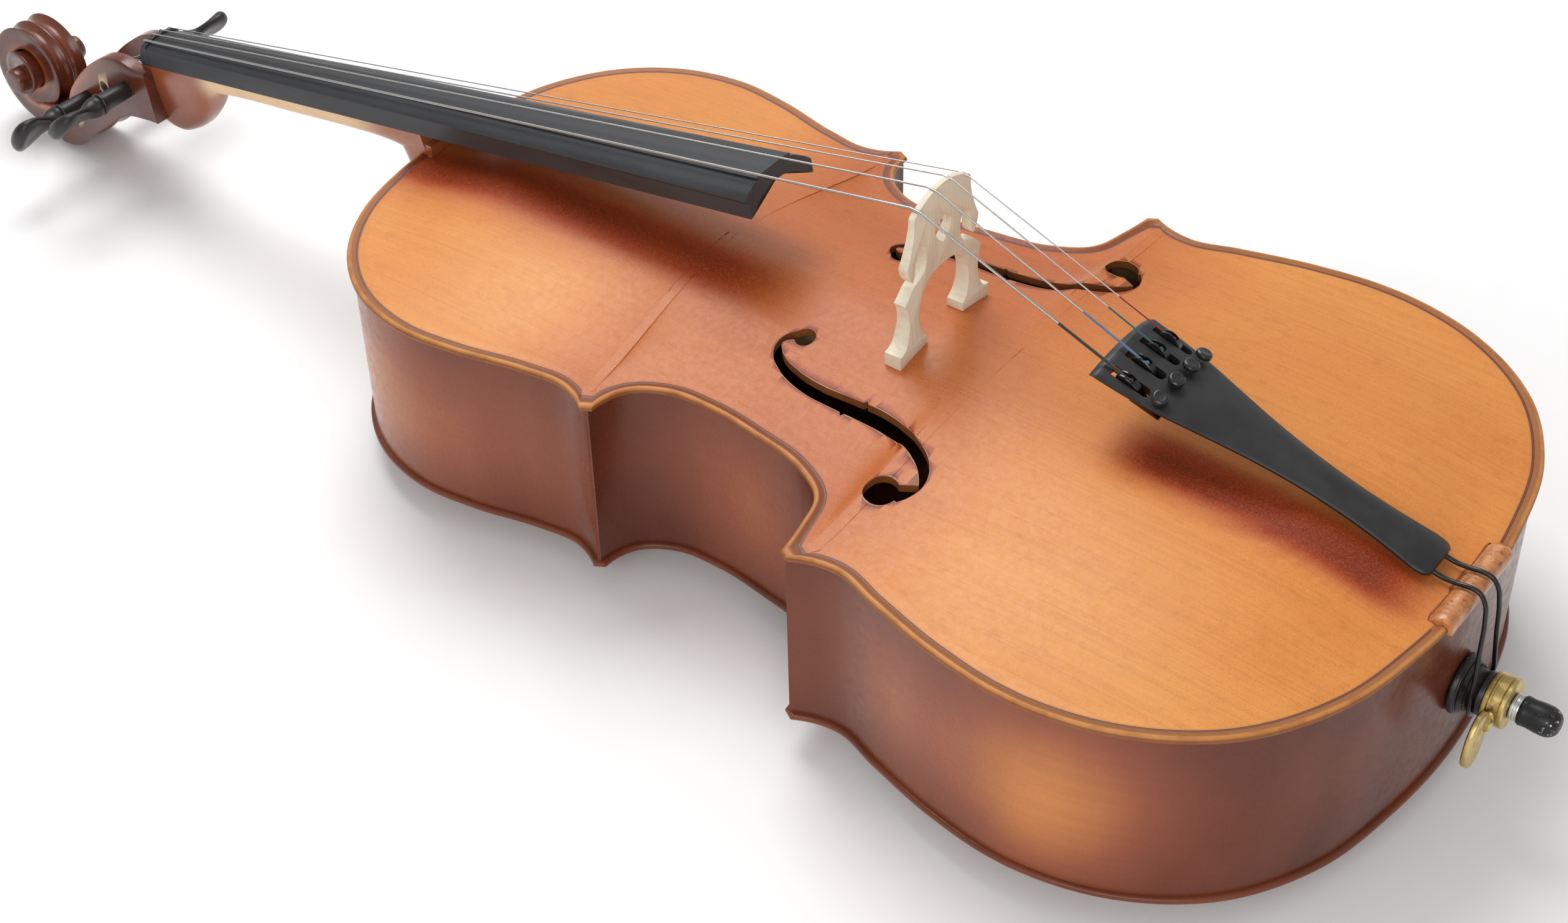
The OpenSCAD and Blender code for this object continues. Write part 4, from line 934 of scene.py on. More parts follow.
FLUTE = [(0, 0.25), (0.07, 0.5), (0.16, 2.0), (0.3, 3.6), (0.48, 4.2), (0.64, 3.6), (0.78, 2.1),
    (0.88, 0.7), (0.93, 0.15), (0.965, 0.3)]
head_rings, head_deep = [], []
total_rows = len(rows)
for k, (o, i, w, hollow) in enumerate(rows):
    o, i = np.asarray(o), np.asarray(i)
    span = np.linalg.norm(i - o)
    d = (i - o) / max(span, 1e-6)
    s = k / total_rows
    flute = smooth(k, 18, 60) * (1 - 0.5 * smooth(k, total_rows - 70, total_rows - 6)) * min(1, span / 14)
    ring, deep = [], []
    for x, dep in FLUTE:
        q = o + d * dep * flute
        ring.append((x * w, *q))
        deep.append(0.2 + 0.12 * dep * flute / 4.2)
    chamfer = min(2.2, span * 0.12)
    side = [(1.0, chamfer), (1.0 - 0.012 * flute, span * 0.3), (1.0 - 0.03 * flute, span * 0.55),
        (1.0 - 0.012 * flute, span * 0.8), (0.998, span - min(1.6, span * 0.1)), (0.965, span - 0.35),
        (0.93, span)]
    for j, (x, dep) in enumerate(side):
        q = o + d * dep
        ring.append((x * w, *q))
        inner = dep / max(span, 1e-6)
        deep.append(0.1 + 0.75 * flute * smooth(inner, 0.45, 1.0))
    depth = hollow * span
    for x, dep in ((14.9 / w if hollow else 0.7, 0.0), (14.5 / w if hollow else 0.6, min(0.6, depth)),
            (14.5 / w if hollow else 0.5, depth), (0, depth)):
        q = i - d * dep
        ring.append((x * w, *q))
        deep.append(0.35)
    right = np.array(ring)
    left = right[1:-1][::-1] * [-1, 1, 1]
    head_rings.append(np.concatenate([right, left]))
    head_deep.append(np.r_[deep, deep[1:-1][::-1]])
head = loft("neck_head", head_rings, M["neck"], 42, attrs={"deep": np.concatenate(head_deep),
    "bare": np.zeros(len(head_rings) * len(head_rings[0]))})

# Positions of the pegs along the head and which side their heads are on
PEGS = {"c": (1056.0, -56.0, -1), "g": (1107.6, -84.0, -1), "d": (1129.0, -107.0, 1),
    "a": (1083.4, -65.2, 1)}
NAMES = "cgda"
HEAD_X, SMALL_X = 52.0, 26.0


def peg_r(x):
    return 5 + 2.2 * (x + SMALL_X) / (HEAD_X + SMALL_X)


def cheek(y):
    return float(np.interp(y, [1020, 1060, 1090, 1120, 1150, 1240], [26, 26, 24.4, 22.6, 21, 19]))


PEG_HOLE_R = 5.5
holes = []
for n in NAMES:
    y, z, s = PEGS[n]
    c = cheek(y)
    lo, hi = sorted((s * (-c - 4), s * (-c + 2.0)))
    holes.append(prism("hole", circle((y, z), PEG_HOLE_R, 48), "x", lo, hi, None))
cut(head, holes)
head.data.set_sharp_from_angle(angle=math.radians(42))


def head_bare(v):
    out = np.zeros(len(v))
    for n in NAMES:
        y, z, s = PEGS[n]
        near = np.hypot(v[:, 1] - y, v[:, 2] - z)
        out = np.maximum(out, np.where(v[:, 0] * s < 0, 1 - smooth(near, 5.4, 6.1), 0)
            * (np.abs(v[:, 0]) > 15))
    return out


set_attr(head, "bare", head_bare)
own(head, "body", ["neck"])

for s, word in ((-1, "bass"), (1, "treble")):
    eye = lathe("neck_eye_" + word, [(4, 9.2), (26, 9.2), (29, 9.6), (EYE_HALF - 1.6, 9.4),
        (EYE_HALF - 0.5, 8.6), (EYE_HALF - 0.05, 7), (EYE_HALF, 4), (EYE_HALF, 0)], (0, EYE[0], EYE[1]),
        (s, 0, 0), M["neck"], 56)
    set_attr(eye, "bare", lambda v: np.zeros(len(v)))
    set_attr(eye, "deep", lambda v: 0.15 + 0 * v[:, 0])
    own(eye, "body", ["neck"])

# ---- fingerboard and nut

TOP_END = [(-1, 10), (-0.6, 20.5), (-0.3, 22.8), (0.05, 23), (0.4, 20.6), (0.72, 15.6), (1, 9)]
TOP_NUT = [(-1, 13.4), (-0.6, 16.4), (-0.3, 17.5), (0.05, 17.7), (0.4, 17.1), (0.72, 15.7), (1, 13.4)]
top_end, top_nut = spline(TOP_END, 6), spline(TOP_NUT, 6)
UNDER = np.array([(0.88, 0.1), (0.66, 0.45), (0.45, 0.72), (0.25, 0.92), (0.1, 1), (-0.3, 1), (-0.48, 0.84),
    (-0.65, 0.66), (-0.78, 0.36), (-0.88, 0.1)])


board_rings = []
for k, hollow in [(0, 1), (0.0008, 1), (0.05, 1), (0.1, 1), (0.22, 1), (0.32, 0.95), (0.42, 0.85),
        (0.45, 0.4), (0.47, 0.02), (0.6, 0.02), (0.75, 0.02), (0.9, 0.02), (0.9993, 0.02), (1, 0.02)]:
    u = BOARD_END_U + BOARD_LEN * k
    h = board_half(u)
    t = top_end * (1 - k) + top_nut * k
    round_end = 0.5 if k in (0, 1) else 0
    top = neck_pts(t[:, 0] * (h - round_end), u, t[:, 1] - round_end)
    sides_l = neck_pts(-(h - round_end), u, [0, 0.5])
    sides_r = neck_pts(h - round_end, u, [0.5, 0])
    under = neck_pts(UNDER[:, 0] * h, u, UNDER[:, 1] * 12.5 * hollow)
    board_rings.append(np.concatenate([sides_l, top, sides_r, under]))
board = loft("fingerboard_shell", board_rings, M["board"], 30)
own(board, "body", ["fingerboard"])

STRING_R = [0.85, 0.65, 0.5, 0.4]
NUT_GAP = 7.6


def nut_x(i):
    return (i - 1.5) * NUT_GAP


def nut_h(i):
    return float(np.interp(nut_x(i) / NUT_HALF, [p[0] for p in TOP_NUT], [p[1] for p in TOP_NUT])) + 1.6


NUT_BACK = [(0.1, 21), (2.2, 21), (4, 17.2), (6.5, 12.6), (9.5, 5), (10, 0)]
nut_rings = []
for x in np.linspace(-16.4, 16.4, 101):
    top = float(np.interp(x / NUT_HALF, top_nut[:, 0], top_nut[:, 1])) + 1.42
    top -= 1.6 * max(0, (abs(x) - 14.9) / 1.5) ** 2
    for i in range(4):
        top -= 0.55 * math.exp(-((x - nut_x(i)) / (STRING_R[i] * 1.1)) ** 4)
    us = np.r_[np.full(4, 0.1), np.linspace(0.5, 2.6, 6), np.linspace(3, 9.4, 14), 9.9, 9.9]
    lim = np.interp(us, [p[0] for p in NUT_BACK], [p[1] for p in NUT_BACK])
    hs = np.minimum(lim - 0.1, top)
    hs[:4] = [0.05, top * 0.5, top - 1.0, top - 0.25]
    hs[-1] = 0.05
    nut_rings.append(neck_pts(x, NUT_U + us, hs))
nut = loft("nut_shell", nut_rings, M["board"], 40)
own(nut, "body", ["nut"])

# ---- saddle

sad = spline([(-0.4, 0.1), (-0.5, 3), (1, 7), (4, 8.9), (8, 8.5), (12, 6.3), (13.9, 4.6)], 5)
CORD_X = 7.5
saddle_rings = []
for x in np.linspace(-36.9, 36.9, 121):
    end = 1 - 0.18 * max(0, (abs(x) - 33) / 3.9) ** 2
    z = sad[:, 1] * end
    for c in (-CORD_X, CORD_X):
        d = abs(x - c)
        if d < 2.95:
            z = np.minimum(z, 10.15 - math.sqrt(2.95 ** 2 - d ** 2))
    z = z + 0.06 * math.sin(x * 1.7) * (z > 3)
    saddle_rings.append(np.concatenate([np.c_[np.full(len(sad), x), sad[:, 0], z],
        [(x, 13.9, 0.1), (x, 6, 0.1)]]))
saddle = loft("saddle_shell", saddle_rings, M["saddle"], 45)
own(saddle, "body", ["saddle"])

# ---- bridge

BRIDGE_Y = 353.5
BRIDGE_GAP = 16
dg = bpy.context.evaluated_depsgraph_get()
belly_tree = BVHTree.FromObject(belly, dg)


def belly_top(x, y):
    p = place((x, y, 80))
    hit = belly_tree.ray_cast(Vector(p), Vector((0, 0, -1)))[0]
    return (hit[2] - place((0, 0, 0))[2]) * 1000


side = [spline([(28.3, 116), (29, 106), (31.7, 97), (36, 86.5)], 5)[:-1],
    spline([(36, 86.5), (34.6, 81.5), (31, 75.6)], 5)[:-1], spline([(31, 75.6), (29.2, 78.6), (28.4, 84),
    (27.6, 90), (25.6, 95), (22.6, 97), (19.6, 95), (17.6, 90), (17.2, 84), (18.6, 79), (22, 75.6)], 4),
    spline([(27, 73.4), (31, 71.6), (35, 67.5), (39, 63.5)], 4)[:-1],
    spline([(39, 63.5), (36.4, 58), (35, 50), (36.6, 40), (39.6, 33.5), (43, 31.6), (45.6, 31.2)], 5)]
under = [(x, belly_top(x, BRIDGE_Y) + 0.12) for x in (45.4, 42, 39, 35.5, 32, 28.5, 25, 21.5, 18.4)]
arch = spline([(18.6, 31.6), (22, 35), (24.8, 41), (25.5, 48), (24.6, 56), (20.4, 64.5), (12.5, 70.6),
    (5, 72.4), (0, 72.6)], 5)
STRING_Z = [120.5, 126.3, 125.6, 119.4]
crown = [(x, 126.8 - 0.0116 * x * x) for x in np.linspace(0, 27.4, 12)]
right = np.concatenate([crown[1:], *side, under, arch[:-1]])
outline = np.concatenate([[crown[0]], right, [arch[-1]], right[::-1] * [-1, 1]])
bridge = prism("bridge_shell", outline, "y", BRIDGE_Y - 6.5, BRIDGE_Y + 6.5, M["bridge"])
heart = spline([(0, 87), (4.6, 91), (8, 96.6), (7.6, 100.2), (4.6, 101.6), (2.4, 100), (3, 103.6),
    (0, 106.4)], 4)
heart = np.concatenate([heart, heart[1:-1][::-1] * [-1, 1]])
tools = [prism("tool", heart, "y", BRIDGE_Y - 20, BRIDGE_Y + 20, None)]
for i in range(4):
    tools.append(prism("tool", circle(((i - 1.5) * BRIDGE_GAP, STRING_Z[i] + 0.6), 1.45, 16), "y",
        BRIDGE_Y - 20, BRIDGE_Y + 20, None))
cut(bridge, tools)
wedge = prism("wedge", [(BRIDGE_Y - 5.75, -5), (BRIDGE_Y + 5.75, -5), (BRIDGE_Y + 5.75, 31),
    (BRIDGE_Y + 4.9, 42), (BRIDGE_Y + 1.45, 132), (BRIDGE_Y - 1.45, 132), (BRIDGE_Y - 4.9, 42),
    (BRIDGE_Y - 5.75, 31)], "x", -60, 60, None)
cut(bridge, [wedge], "INTERSECT")
bevel(bridge, 0.4, 2, 40, 50)
own(bridge, "body", ["bridge"])

# ---- pegs and windings

PEG_HEAD = spline([(0, 7.2), (3, 7.8), (5, 6.6), (10, 6.4), (16, 9.5), (23, 14.5), (30, 17.0), (36, 16.2),
    (40.5, 11.8), (42.6, 5.5), (43, 1.2)], 5)
PEG_THICK = spline([(0, 7.2), (3, 7.8), (8, 7), (15, 4), (22, 3.8), (30, 5.1), (38, 6.2), (41.5, 4.6),
    (42.6, 2.8), (43, 0.6)], 5)
PEG_TURN = {"c": -46, "g": -60, "d": 15, "a": -45}
WIND_FROM = {"c": 2.6, "g": -1.5, "d": -1.5, "a": 6}
TURNS = 6
SILK = {"c": silk_material("silk_c", srgb(62, 48, 40), srgb(22, 16, 14)),
    "g": silk_material("silk_g", srgb(110, 150, 190), srgb(44, 70, 110)),
    "d": silk_material("silk_d", srgb(28, 122, 116), srgb(10, 52, 52)),
    "a": silk_material("silk_a", srgb(170, 30, 46), srgb(80, 10, 20))}
WIRE = {"c": string_material("wire_c", 420, (0.62, 0.6, 0.57, 1)),
    "g": string_material("wire_g", 520, (0.68, 0.66, 0.62, 1)),
    "d": string_material("wire_d", 640, (0.72, 0.71, 0.68, 1)),
    "a": string_material("wire_a", 760, (0.74, 0.73, 0.71, 1))}
for k, n in enumerate(NAMES):
    y, z, s = PEGS[n]
    c = cheek(y)
    shaft = [(-c + 1.2, 0), (-c + 1.0, peg_r(-c) - 0.8), (-c + 1.3, peg_r(-c))]
    shaft += [(x, peg_r(x)) for x in np.linspace(-c + 3, 49.2, 14)]
    shaft += [(49.5, 7.9), (50.2, 8.35), (51.2, 8.35), (51.8, 7.9), (52.1, 6.6), (52.3, 0)]
    shaft = lathe("peg_shaft_" + n, shaft, (0, y, z), (s, 0, 0), M["peg"], 64, 32)
    rings = []
    turn = math.radians(PEG_TURN[n])
    for d in np.r_[np.linspace(0, 40, 33), 41.2, 42.1, 42.7, 42.95]:
        wide = float(np.interp(d, PEG_HEAD[:, 0], PEG_HEAD[:, 1]))
        thick = float(np.interp(d, PEG_THICK[:, 0], PEG_THICK[:, 1]))
        square = 1.0 - 0.12 * smooth(d, 8, 20)
        a = turn_angles(44)
        dish = 1 - 0.22 * smooth(d, 16, 26) * (1 - smooth(d, 33, 40)) * (np.abs(np.sin(a)) ** 6)
        p = wide * np.sign(np.cos(a)) * np.abs(np.cos(a)) ** square
        q = thick * dish * np.sign(np.sin(a)) * np.abs(np.sin(a)) ** square
        rings.append(np.c_[np.full(44, s * (HEAD_X + d)), y + p * math.cos(turn) - q * math.sin(turn),
            z + p * math.sin(turn) + q * math.cos(turn)])
    paddle = loft("peg_head_" + n, rings, M["peg"], 42)
    for ob in (shaft, paddle):
        own(ob, "peg_" + n, ["peg_" + n])
    r = STRING_R[k]
    base = peg_r(WIND_FROM[n] + 2 * TURNS * r) + 0.03 + r
    a = np.linspace(0, 2 * math.pi * (TURNS - 0.5), 40 * TURNS)
    x = WIND_FROM[n] + r + 2 * r * a / (2 * math.pi)
    coil = np.c_[s * x, y + base * np.sin(a + math.pi / 2), z + base * np.cos(a + math.pi / 2)]
    coil = tube("winding_coil_" + n, coil, r * 0.98, WIRE[n], 10, (1, 0, 0))
    own(coil, "peg_" + n, ["winding_" + n])

# ---- strings

TAIL_TILT = math.radians(15.3)
TAIL_FRONT = (229.0, 72.6)
TUNER_GAP = 15
# Drop of the tailpiece's top 30 mm from its middle
TAIL_DROP = 5.6
HOOK_Y, KNOB_Y, KNOB_Z = -21, -40.4, 2.1


def tail_pts(p):
    p = np.atleast_2d(np.asarray(p, float))
    c, s = math.cos(TAIL_TILT), math.sin(TAIL_TILT)
    return np.c_[p[:, 0], TAIL_FRONT[0] + p[:, 1] * c - p[:, 2] * s,
        TAIL_FRONT[1] + p[:, 1] * s + p[:, 2] * c]


def tuner_x(i):
    return (i - 1.5) * TUNER_GAP


def tuner_pts(i, p):
    """Points in a tuner's own frame, z up from the tailpiece's top at its slot."""
    p = np.atleast_2d(np.asarray(p, float))
    lean = math.atan(2 * TAIL_DROP * tuner_x(i) / 900)
    c, s = math.cos(lean), math.sin(lean)
    return tail_pts(np.c_[tuner_x(i) + p[:, 0] * c + p[:, 2] * s, p[:, 1],
        -TAIL_DROP * (tuner_x(i) / 30) ** 2 - p[:, 0] * s + p[:, 2] * c])


def tuner_tool(i, line, low):
    """Cutter through the line, from low to well above the tailpiece at tuner i."""
    return loft("slot", [tuner_pts(i, [(x, y, z) for x, y in line]) for z in (low, 12)], None, 30)


# Points of each string behind the nut, down to its peg
PEG_RUN = {"c": [(1052.5, -47), (1043.5, -24)], "g": [(1104.5, -74.4), (1043.5, -22.5)],
    "d": [(1128, -98.8), (1108.8, -72.8), (1043.5, -22)], "a": [(1081, -57), (1043.5, -23.5)]}
# Where the coloured silk starts behind the bridge, as a share of the way to the tuner
SILK_FROM = {"c": 0.66, "g": 0.7, "d": 0.75, "a": 0.74}
for i, n in enumerate(NAMES):
    r = STRING_R[i]
    nx, wx = nut_x(i), PEGS[n][2] * (WIND_FROM[n] + r)
    run = PEG_RUN[n]
    back_run = [np.array([wx * (1 - k / len(run)) + nx * k / len(run), p[0], p[1] + r]) for k,
        p in enumerate(run)]
    over = neck_pts(nx, NUT_U + 1.2, nut_h(i) + r)
    behind = neck_pts(nx, NUT_U + 4.2, nut_h(i) + r)
    top = np.array([(i - 1.5) * BRIDGE_GAP, BRIDGE_Y, STRING_Z[i] + r + 0.45])
    hook = tuner_pts(i, (0, HOOK_Y, 1))[0]
    to_nut, to_hook = unit(over - top), unit(hook - top)
    front, rear = top + to_nut * 4, top + to_hook * 4
    peg_side = spline(np.array([*back_run, behind, over]), 5)
    own(tube("string_head_" + n, peg_side, r, WIRE[n], 12, (1, 0, 0)), "body", ["string_" + n])
    rest_rear = rear + (hook - rear) * SILK_FROM[n]
    main = [over + (front - over) * t for t in np.linspace(0, 1, 24)]
    main += [rear + (rest_rear - rear) * t for t in np.linspace(0, 1, 5)]
    own(tube("string_wire_" + n, np.array(main), r, WIRE[n], 12, (1, 0, 0)), "body", ["string_" + n])
    tail_run = [rest_rear + (hook - rest_rear) * t for t in np.linspace(0, 1, 26)]
    fuzz = r * (1.12 + 0.03 * np.sin(np.arange(26) * 2.1))
    fuzz[0] = r * 1.02
    end = tube("string_silk_" + n, np.array(tail_run), fuzz, SILK[n], 12, (1, 0, 0))
    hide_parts("string_" + n)
    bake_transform(end)
    ball = lathe("string_ball_" + n, [(-1.2, 0.5), (-1.18, 1.2), (-1.0, 1.48), (-0.5, 1.42), (0, 1.36),
        (0.5, 1.42), (1.0, 1.48), (1.18, 1.2), (1.2, 0.5)], hook, (1, 0, 0), SILK[n], 28)
    own(ball, "tuner_lever_" + n, ["string_" + n])

# ---- tailpiece and tuners

TAIL = [(0, 32, 5.8, 9.2), (-14, 31.4, 5.7, 9.4), (-44, 28, 5.4, 9.6), (-66, 23.6, 5, 9.6),
    (-96, 17.8, 4.6, 9.6), (-126, 13.9, 4.2, 9.6), (-152, 12.6, 4, 9.6), (-176, 13.2, 4, 9.6),
    (-194, 14.8, 4.2, 9.4), (-204, 15.6, 4.4, 9), (-209, 14.6, 4.4, 8.4), (-212, 11.6, 4.4, 7.6)]
body_st = spline(TAIL, 6)
stations = [(0, 31.1, 5.8, 9.0, 2.6), (-0.35, 31.6, 5.8, 9.1, 2.05), (-3.3, 31.75, 5.8, 9.2, 0.18),
    (-4.2, 31.8, 5.75, 9.2, 0.0)]
stations += [(*r, 0.0) for r in body_st if r[0] < -5]
stations[-1] = (*body_st[-1][:3], body_st[-1][3], 0.6)
tail_rings = []
for y, wide, drop, deep, low in stations:
    c = np.linspace(-1, 1, 41)
    top = np.c_[c * wide, np.full(41, y), -drop * c * c - low]
    top[0, 2] -= 0.5
    top[-1, 2] -= 0.5
    under = np.array([(wide * 0.985, y, -drop - 2.0 - low * 0.3), (wide * 0.93, y, -drop - 2.8),
        (wide * 0.55, y, -deep), (-wide * 0.55, y, -deep), (-wide * 0.93, y, -drop - 2.8),
        (-wide * 0.985, y, -drop - 2.0 - low * 0.3)])
    tail_rings.append(tail_pts(np.concatenate([top, under])))
tail = loft("tailpiece_shell", tail_rings, M["tail"], 34)
tools = []
for i in range(4):
    slot_line = [(3.2, -8.8), (2.7, -8.3), (-2.7, -8.3), (-3.2, -8.8)]
    slot_line += [(3.2 * math.cos(a), -31.0 + 3.2 * math.sin(a)) for a
        in np.linspace(math.pi, 2 * math.pi, 15)]
    tools.append(tuner_tool(i, slot_line, -22))
    tools.append(tuner_tool(i, circle((0, KNOB_Y), 1.85, 24), -22))
for s in (-1, 1):
    o = circle((s * CORD_X, -6), 1.75, 24)
    tools.append(loft("slot", [tail_pts([(x, y, z) for x, z in o]) for y in (-220, -196)], None, 30))
cut(tail, tools)
tail.data.set_sharp_from_angle(angle=math.radians(34))
own(tail, "body", ["tailpiece"])

LEVER = np.concatenate([spline([(-29.2, -5.2), (-28, -1.6), (-25, 1.6), (-21, 3.5), (-17, 3.7),
    (-13.7, 2.1), (-12.4, -0.6), (-12.9, -4.6)], 5), [(-22.4, -8.6), (-24.6, -14.5), (-43.9, -14.5),
    (-43.9, -12.7), (-28.4, -12.7)]])
for i, n in enumerate(NAMES):
    c = len(LEVER)
    rings = []
    for x, inset in ((-2.45, 0.45), (-2.0, 0.0), (2.0, 0.0), (2.45, 0.45)):
        d = LEVER - [-21, -6]
        o = LEVER - d / np.linalg.norm(d, axis=1)[:, None] * inset
        rings.append(tuner_pts(i, np.c_[np.full(c, x), o]))
    lever = loft("tuner_arc_" + n, rings, M["lever"], 40)
    slot_box = [(1.15, -22.5), (1.15, -10), (-1.15, -10), (-1.15, -22.5)]
    wide_box = [(1.95, -23.4), (1.95, -19.2), (-1.95, -19.2), (-1.95, -23.4)]
    cut(lever, [tuner_tool(i, b, -0.9) for b in (slot_box, wide_box)])
    lever.data.set_sharp_from_angle(angle=math.radians(38))
    own(lever, "tuner_lever_" + n, ["tuner_lever_" + n])
    o = tuner_pts(i, (0, KNOB_Y, KNOB_Z))[0]
    axis = unit(tuner_pts(i, (0, KNOB_Y, KNOB_Z + 1))[0] - o)
    knob = [(0.0, 1.9), (0.02, 3.5), (0.25, 4.1), (0.8, 4.82), (1.4, 4.9), (3.0, 4.9), (3.35, 4.75),
        (3.95, 4.05), (4.15, 3.7), (4.2, 3.2), (4.12, 2.9), (4.1, 0.0)]
    knob = lathe("tuner_disc_" + n, knob, o, axis, M["knob"], 72, 30)
    own(knob, "tuner_knob_" + n, ["tuner_knob_" + n])

# ---- tail cord

AXIS_Z = -65.0
LOOP_R = 14.15
LOOP_Y = -10
# Right half of the cord, from inside the tailpiece over the saddle to below the collar
CORD = [(7.5, 31, 12.2), (7.5, 20, 8.9), (7.5, 12, 9.2), (7.5, 5, 10.2), (7.6, -1, 9.2), (7.9, -5, 4),
    (8.6, -7, -6), (10.4, -8.4, -28), (12.6, -9.6, -48), (14.2, -10, -58)]


def loop_point(side, degrees):
    a = math.radians(degrees)
    return (side * LOOP_R * math.cos(a), LOOP_Y, AXIS_Z + LOOP_R * math.sin(a))


loop = [loop_point(1, a) for a in range(8, -189, -14)]
cord_pts = CORD + loop[:-1] + [loop_point(-1, 8)] + [(-x, y, z) for x, y, z in CORD[::-1]]
cord = tube("tail_cord_run", spline(cord_pts, 5), 1.4, M["cord"], 16, (0, 1, 0.3))
own(cord, "body", ["tail_cord"])

# ---- endpin

AX = (0, 0, AXIS_Z)
UP = (0, 1, 0)
CLAMP = (0, -22, AXIS_Z)
collar = [(8, 0), (8, 12.9), (2.5, 12.95), (2.4, 17.3), (2.1, 17.7), (1.2, 18.3), (0.2, 18.35),
    (-0.9, 18.1), (-1.4, 17.9), (-1.75, 17.3), (-2.2, 17.2), (-2.6, 16.7), (-2.9, 16.35), (-3.3, 16.6),
    (-3.5, 16.7), (-4.3, 15.9), (-5.4, 14.75), (-5.7, 14.4), (-6.0, 14.6), (-6.4, 14.8), (-7.2, 14.2),
    (-7.9, 13.45), (-8.6, 12.7), (-10, 12.55), (-11.4, 12.7), (-12.1, 13.1), (-12.5, 13.35), (-14.8, 13.35),
    (-15.3, 13.2), (-15.45, 12.6), (-15.45, 0)]
collar = lathe("collar_turned", collar, AX, UP, M["collar"], 96, 24)
own(collar, "body", ["endpin_collar"])
ring = [(-15.6, 5.2), (-15.62, 14.0), (-16.1, 14.8), (-16.6, 14.95), (-18.5, 14.95), (-18.8, 14.4),
    (-19.0, 14.2), (-19.2, 14.4), (-19.5, 14.95), (-20.3, 14.95), (-20.5, 14.7), (-20.7, 14.95),
    (-25.3, 14.95), (-25.6, 14.4), (-25.8, 14.25), (-26.0, 14.4), (-26.3, 14.95), (-28.2, 14.95),
    (-28.7, 14.6), (-28.98, 14.0), (-29, 5.2)]
ring = lathe("ring_turned", ring, AX, UP, M["brass"], 96, 24)
own(ring, "body", ["endpin_ring"])
stud = [(4.7, 2.4)]
for k in range(18):
    stud += [(5.3 + k * 0.95, 2.95), (5.3 + k * 0.95 + 0.45, 2.5)]
stud += [(22.9, 2.6), (23.0, 0.0)]
stud = lathe("clamp_stud", stud, CLAMP, (-1, 0, 0), M["brass"], 40, 60)
own(stud, "clamp_screw", ["endpin_clamp_screw"])
WING = spline([(-19.6, 4), (-20.9, 8), (-24.2, 10.8), (-29, 11.8), (-34.3, 9.8), (-38.8, 4.9), (-41.8, -3),
    (-42.8, -11), (-40.8, -17.8), (-35.8, -22.3), (-30, -23.1), (-25.2, -20.2), (-21.8, -14), (-20, -8),
    (-19.6, -4)], 5)
wing = prism("clamp_paddle", np.c_[WING[:, 0], AXIS_Z + WING[:, 1]], "y", -24, -20, M["brass"])
bevel(wing, 1.1, 3, 40, 60)
boss = lathe("clamp_boss", [(18.7, 3.1), (18.75, 4.2), (19.3, 4.65), (23.6, 4.6), (24.4, 4.1), (24.6, 3.2),
    (24.6, 0)], CLAMP, (-1, 0, 0), M["brass"], 48)
for ob in (wing, boss):
    own(ob, "clamp_wing", ["endpin_wing"])
sleeve = [(-29.4, 4.6), (-29.42, 7.4), (-29.8, 7.85), (-30.6, 7.95), (-31.2, 7.7), (-31.6, 7.95),
    (-32.8, 7.95), (-33.1, 7.75), (-33.4, 7.95), (-34.2, 7.9), (-34.38, 7.4), (-34.4, 4.6)]
sleeve = lathe("sleeve_turned", sleeve, AX, UP, M["zinc"], 72, 28)
own(sleeve, "endpin", ["endpin_sleeve"])
tip = [(-34.5, 4.6), (-34.52, 7.9), (-34.9, 8.5), (-35.6, 8.8), (-37.5, 8.55), (-40, 8.45), (-43, 8.75),
    (-46, 8.95), (-49, 8.98), (-51.2, 8.7), (-53, 8.05), (-54.6, 7.0), (-55.8, 5.9), (-56.6, 4.4),
    (-56.95, 2.8), (-57, 0)]
tip = lathe("tip_moulded", tip, AX, UP, M["rubber"], 72, 50)
own(tip, "endpin", ["endpin_tip"])

# ---- CAD nodes that stay in view

KEPT = {"raw": ["bass_bar", "sound_post", "belly_linings", "back_linings", "top_block", "bottom_block",
    "corner_blocks"], "steel": ["tuner_pins", "endpin_rod"] + ["tuner_screw_" + n for n in NAMES]}
for key, names in KEPT.items():
    for name in names:
        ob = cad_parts[name]
        ob.data.materials.clear()
        ob.data.materials.append(M[key])

# ---- floor, light and camera

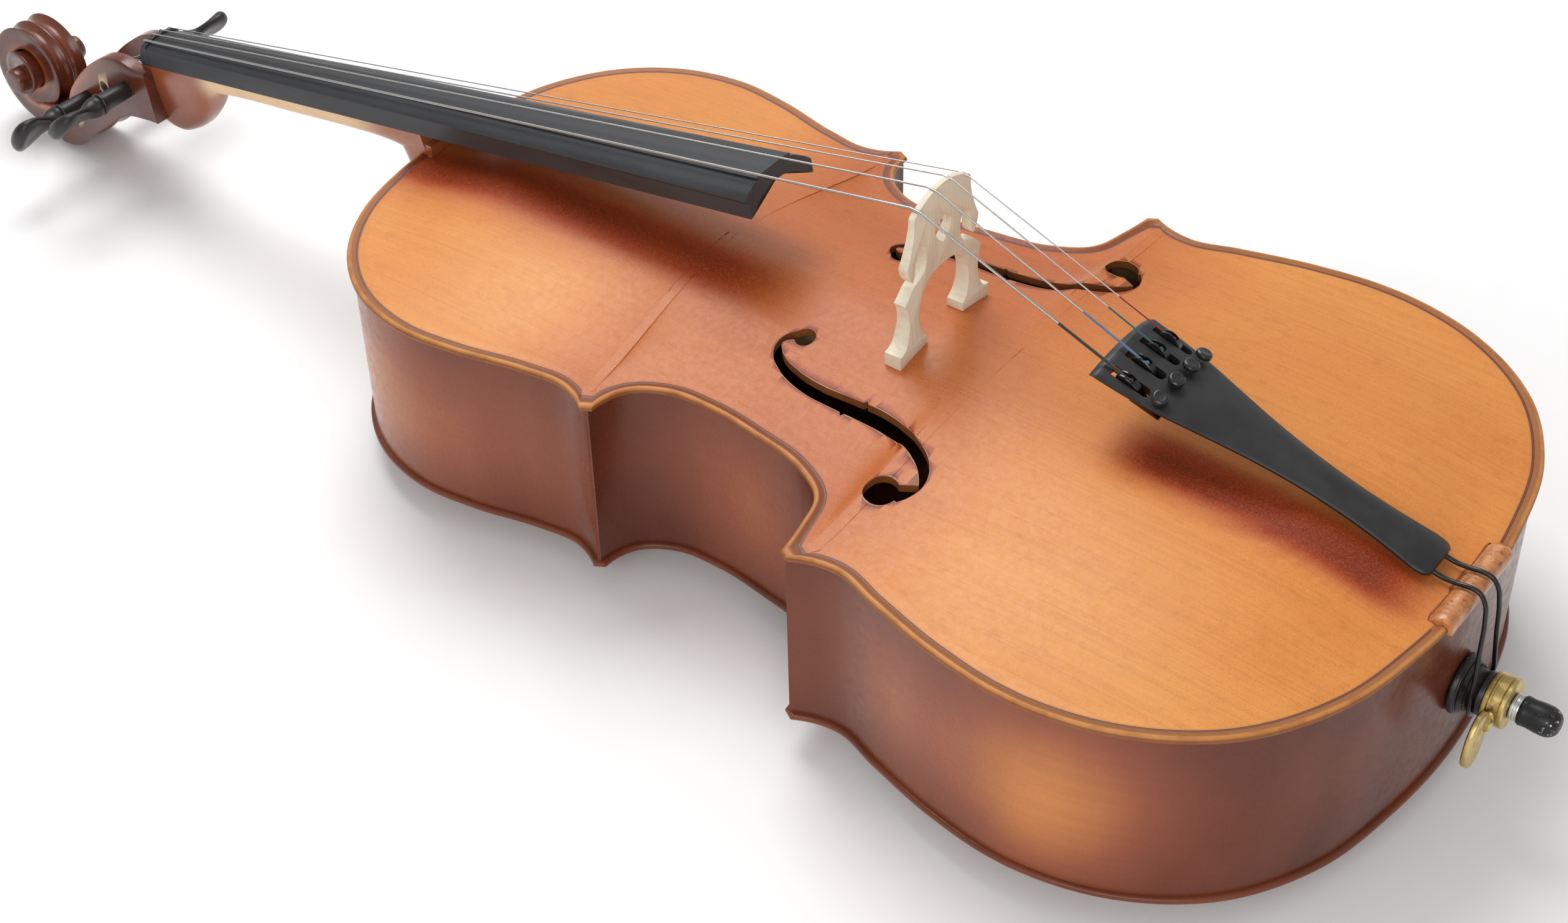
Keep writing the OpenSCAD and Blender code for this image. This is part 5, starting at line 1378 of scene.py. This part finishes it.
floor_mat = Mat("floor_paper", rough=0.9, spec=0.1)
floor_mat.color(floor_mat.mix(floor_mat.noise((1, 1, 1), 2, 0.5, 30), (0.96, 0.96, 0.96, 1),
    (0.99, 0.99, 0.99, 1)))
floor = add_mesh("floor", [(-9, -9, -0.0006), (9, -9, -0.0006), (9, 9, -0.0006), (-9, 9, -0.0006)],
    [(0, 1, 2, 3)], floor_mat.m, world=True)

world = bpy.data.worlds.new("studio")
world.use_nodes = True
world.node_tree.nodes["Background"].inputs[0].default_value = (1, 1, 1, 1)
world.node_tree.nodes["Background"].inputs[1].default_value = 0.5
bpy.context.scene.world = world
bpy.context.scene.view_settings.view_transform = "Standard"


def soft_box(name, at, target, size, power, tint=(1, 1, 1)):
    d = bpy.data.lights.new(name, "AREA")
    d.shape = "RECTANGLE"
    d.size, d.size_y = size
    d.energy = power
    d.color = tint
    o = bpy.data.objects.new(name, d)
    o.location = at
    o.rotation_euler = (Vector(target) - Vector(at)).to_track_quat("-Z", "Y").to_euler()
    bpy.context.scene.collection.objects.link(o)


soft_box("key", (0.55, 0.75, 2.1), (0, 0, 0.1), (1.3, 1.3), 31)
soft_box("fill", (-1.5, -0.9, 1.0), (0, -0.1, 0.1), (1.4, 1.0), 12)
soft_box("back", (1.3, 1.2, 1.5), (0, 0.1, 0.1), (1.6, 1.2), 6)

CAMERA_DISTANCE = 1478.954
az, el, roll = math.radians(-51.82), math.radians(40.572), math.radians(-1.563)
target = np.array([-129.191, 369.933, 0.0])
outward = np.array([math.sin(az) * math.cos(el), -math.cos(az) * math.cos(el), math.sin(el)])
across = unit(np.cross(-outward, (0, 0, 1)))
upward = np.cross(across, -outward)
turn_r = math.cos(roll) * across + math.sin(roll) * upward
turn_u = -math.sin(roll) * across + math.cos(roll) * upward
cam = bpy.data.cameras.new("camera")
cam.lens = 59.429
cam.sensor_width = 36
cam.clip_end = 50
cam_ob = bpy.data.objects.new("camera", cam)
mat = Matrix.Identity(4)
for col, vec in enumerate((turn_r, turn_u, outward)):
    for row in range(3):
        mat[row][col] = vec[row]
at = place(target + outward * CAMERA_DISTANCE)
for row in range(3):
    mat[row][3] = at[row]
cam_ob.matrix_world = mat
bpy.context.scene.collection.objects.link(cam_ob)
bpy.context.scene.camera = cam_ob
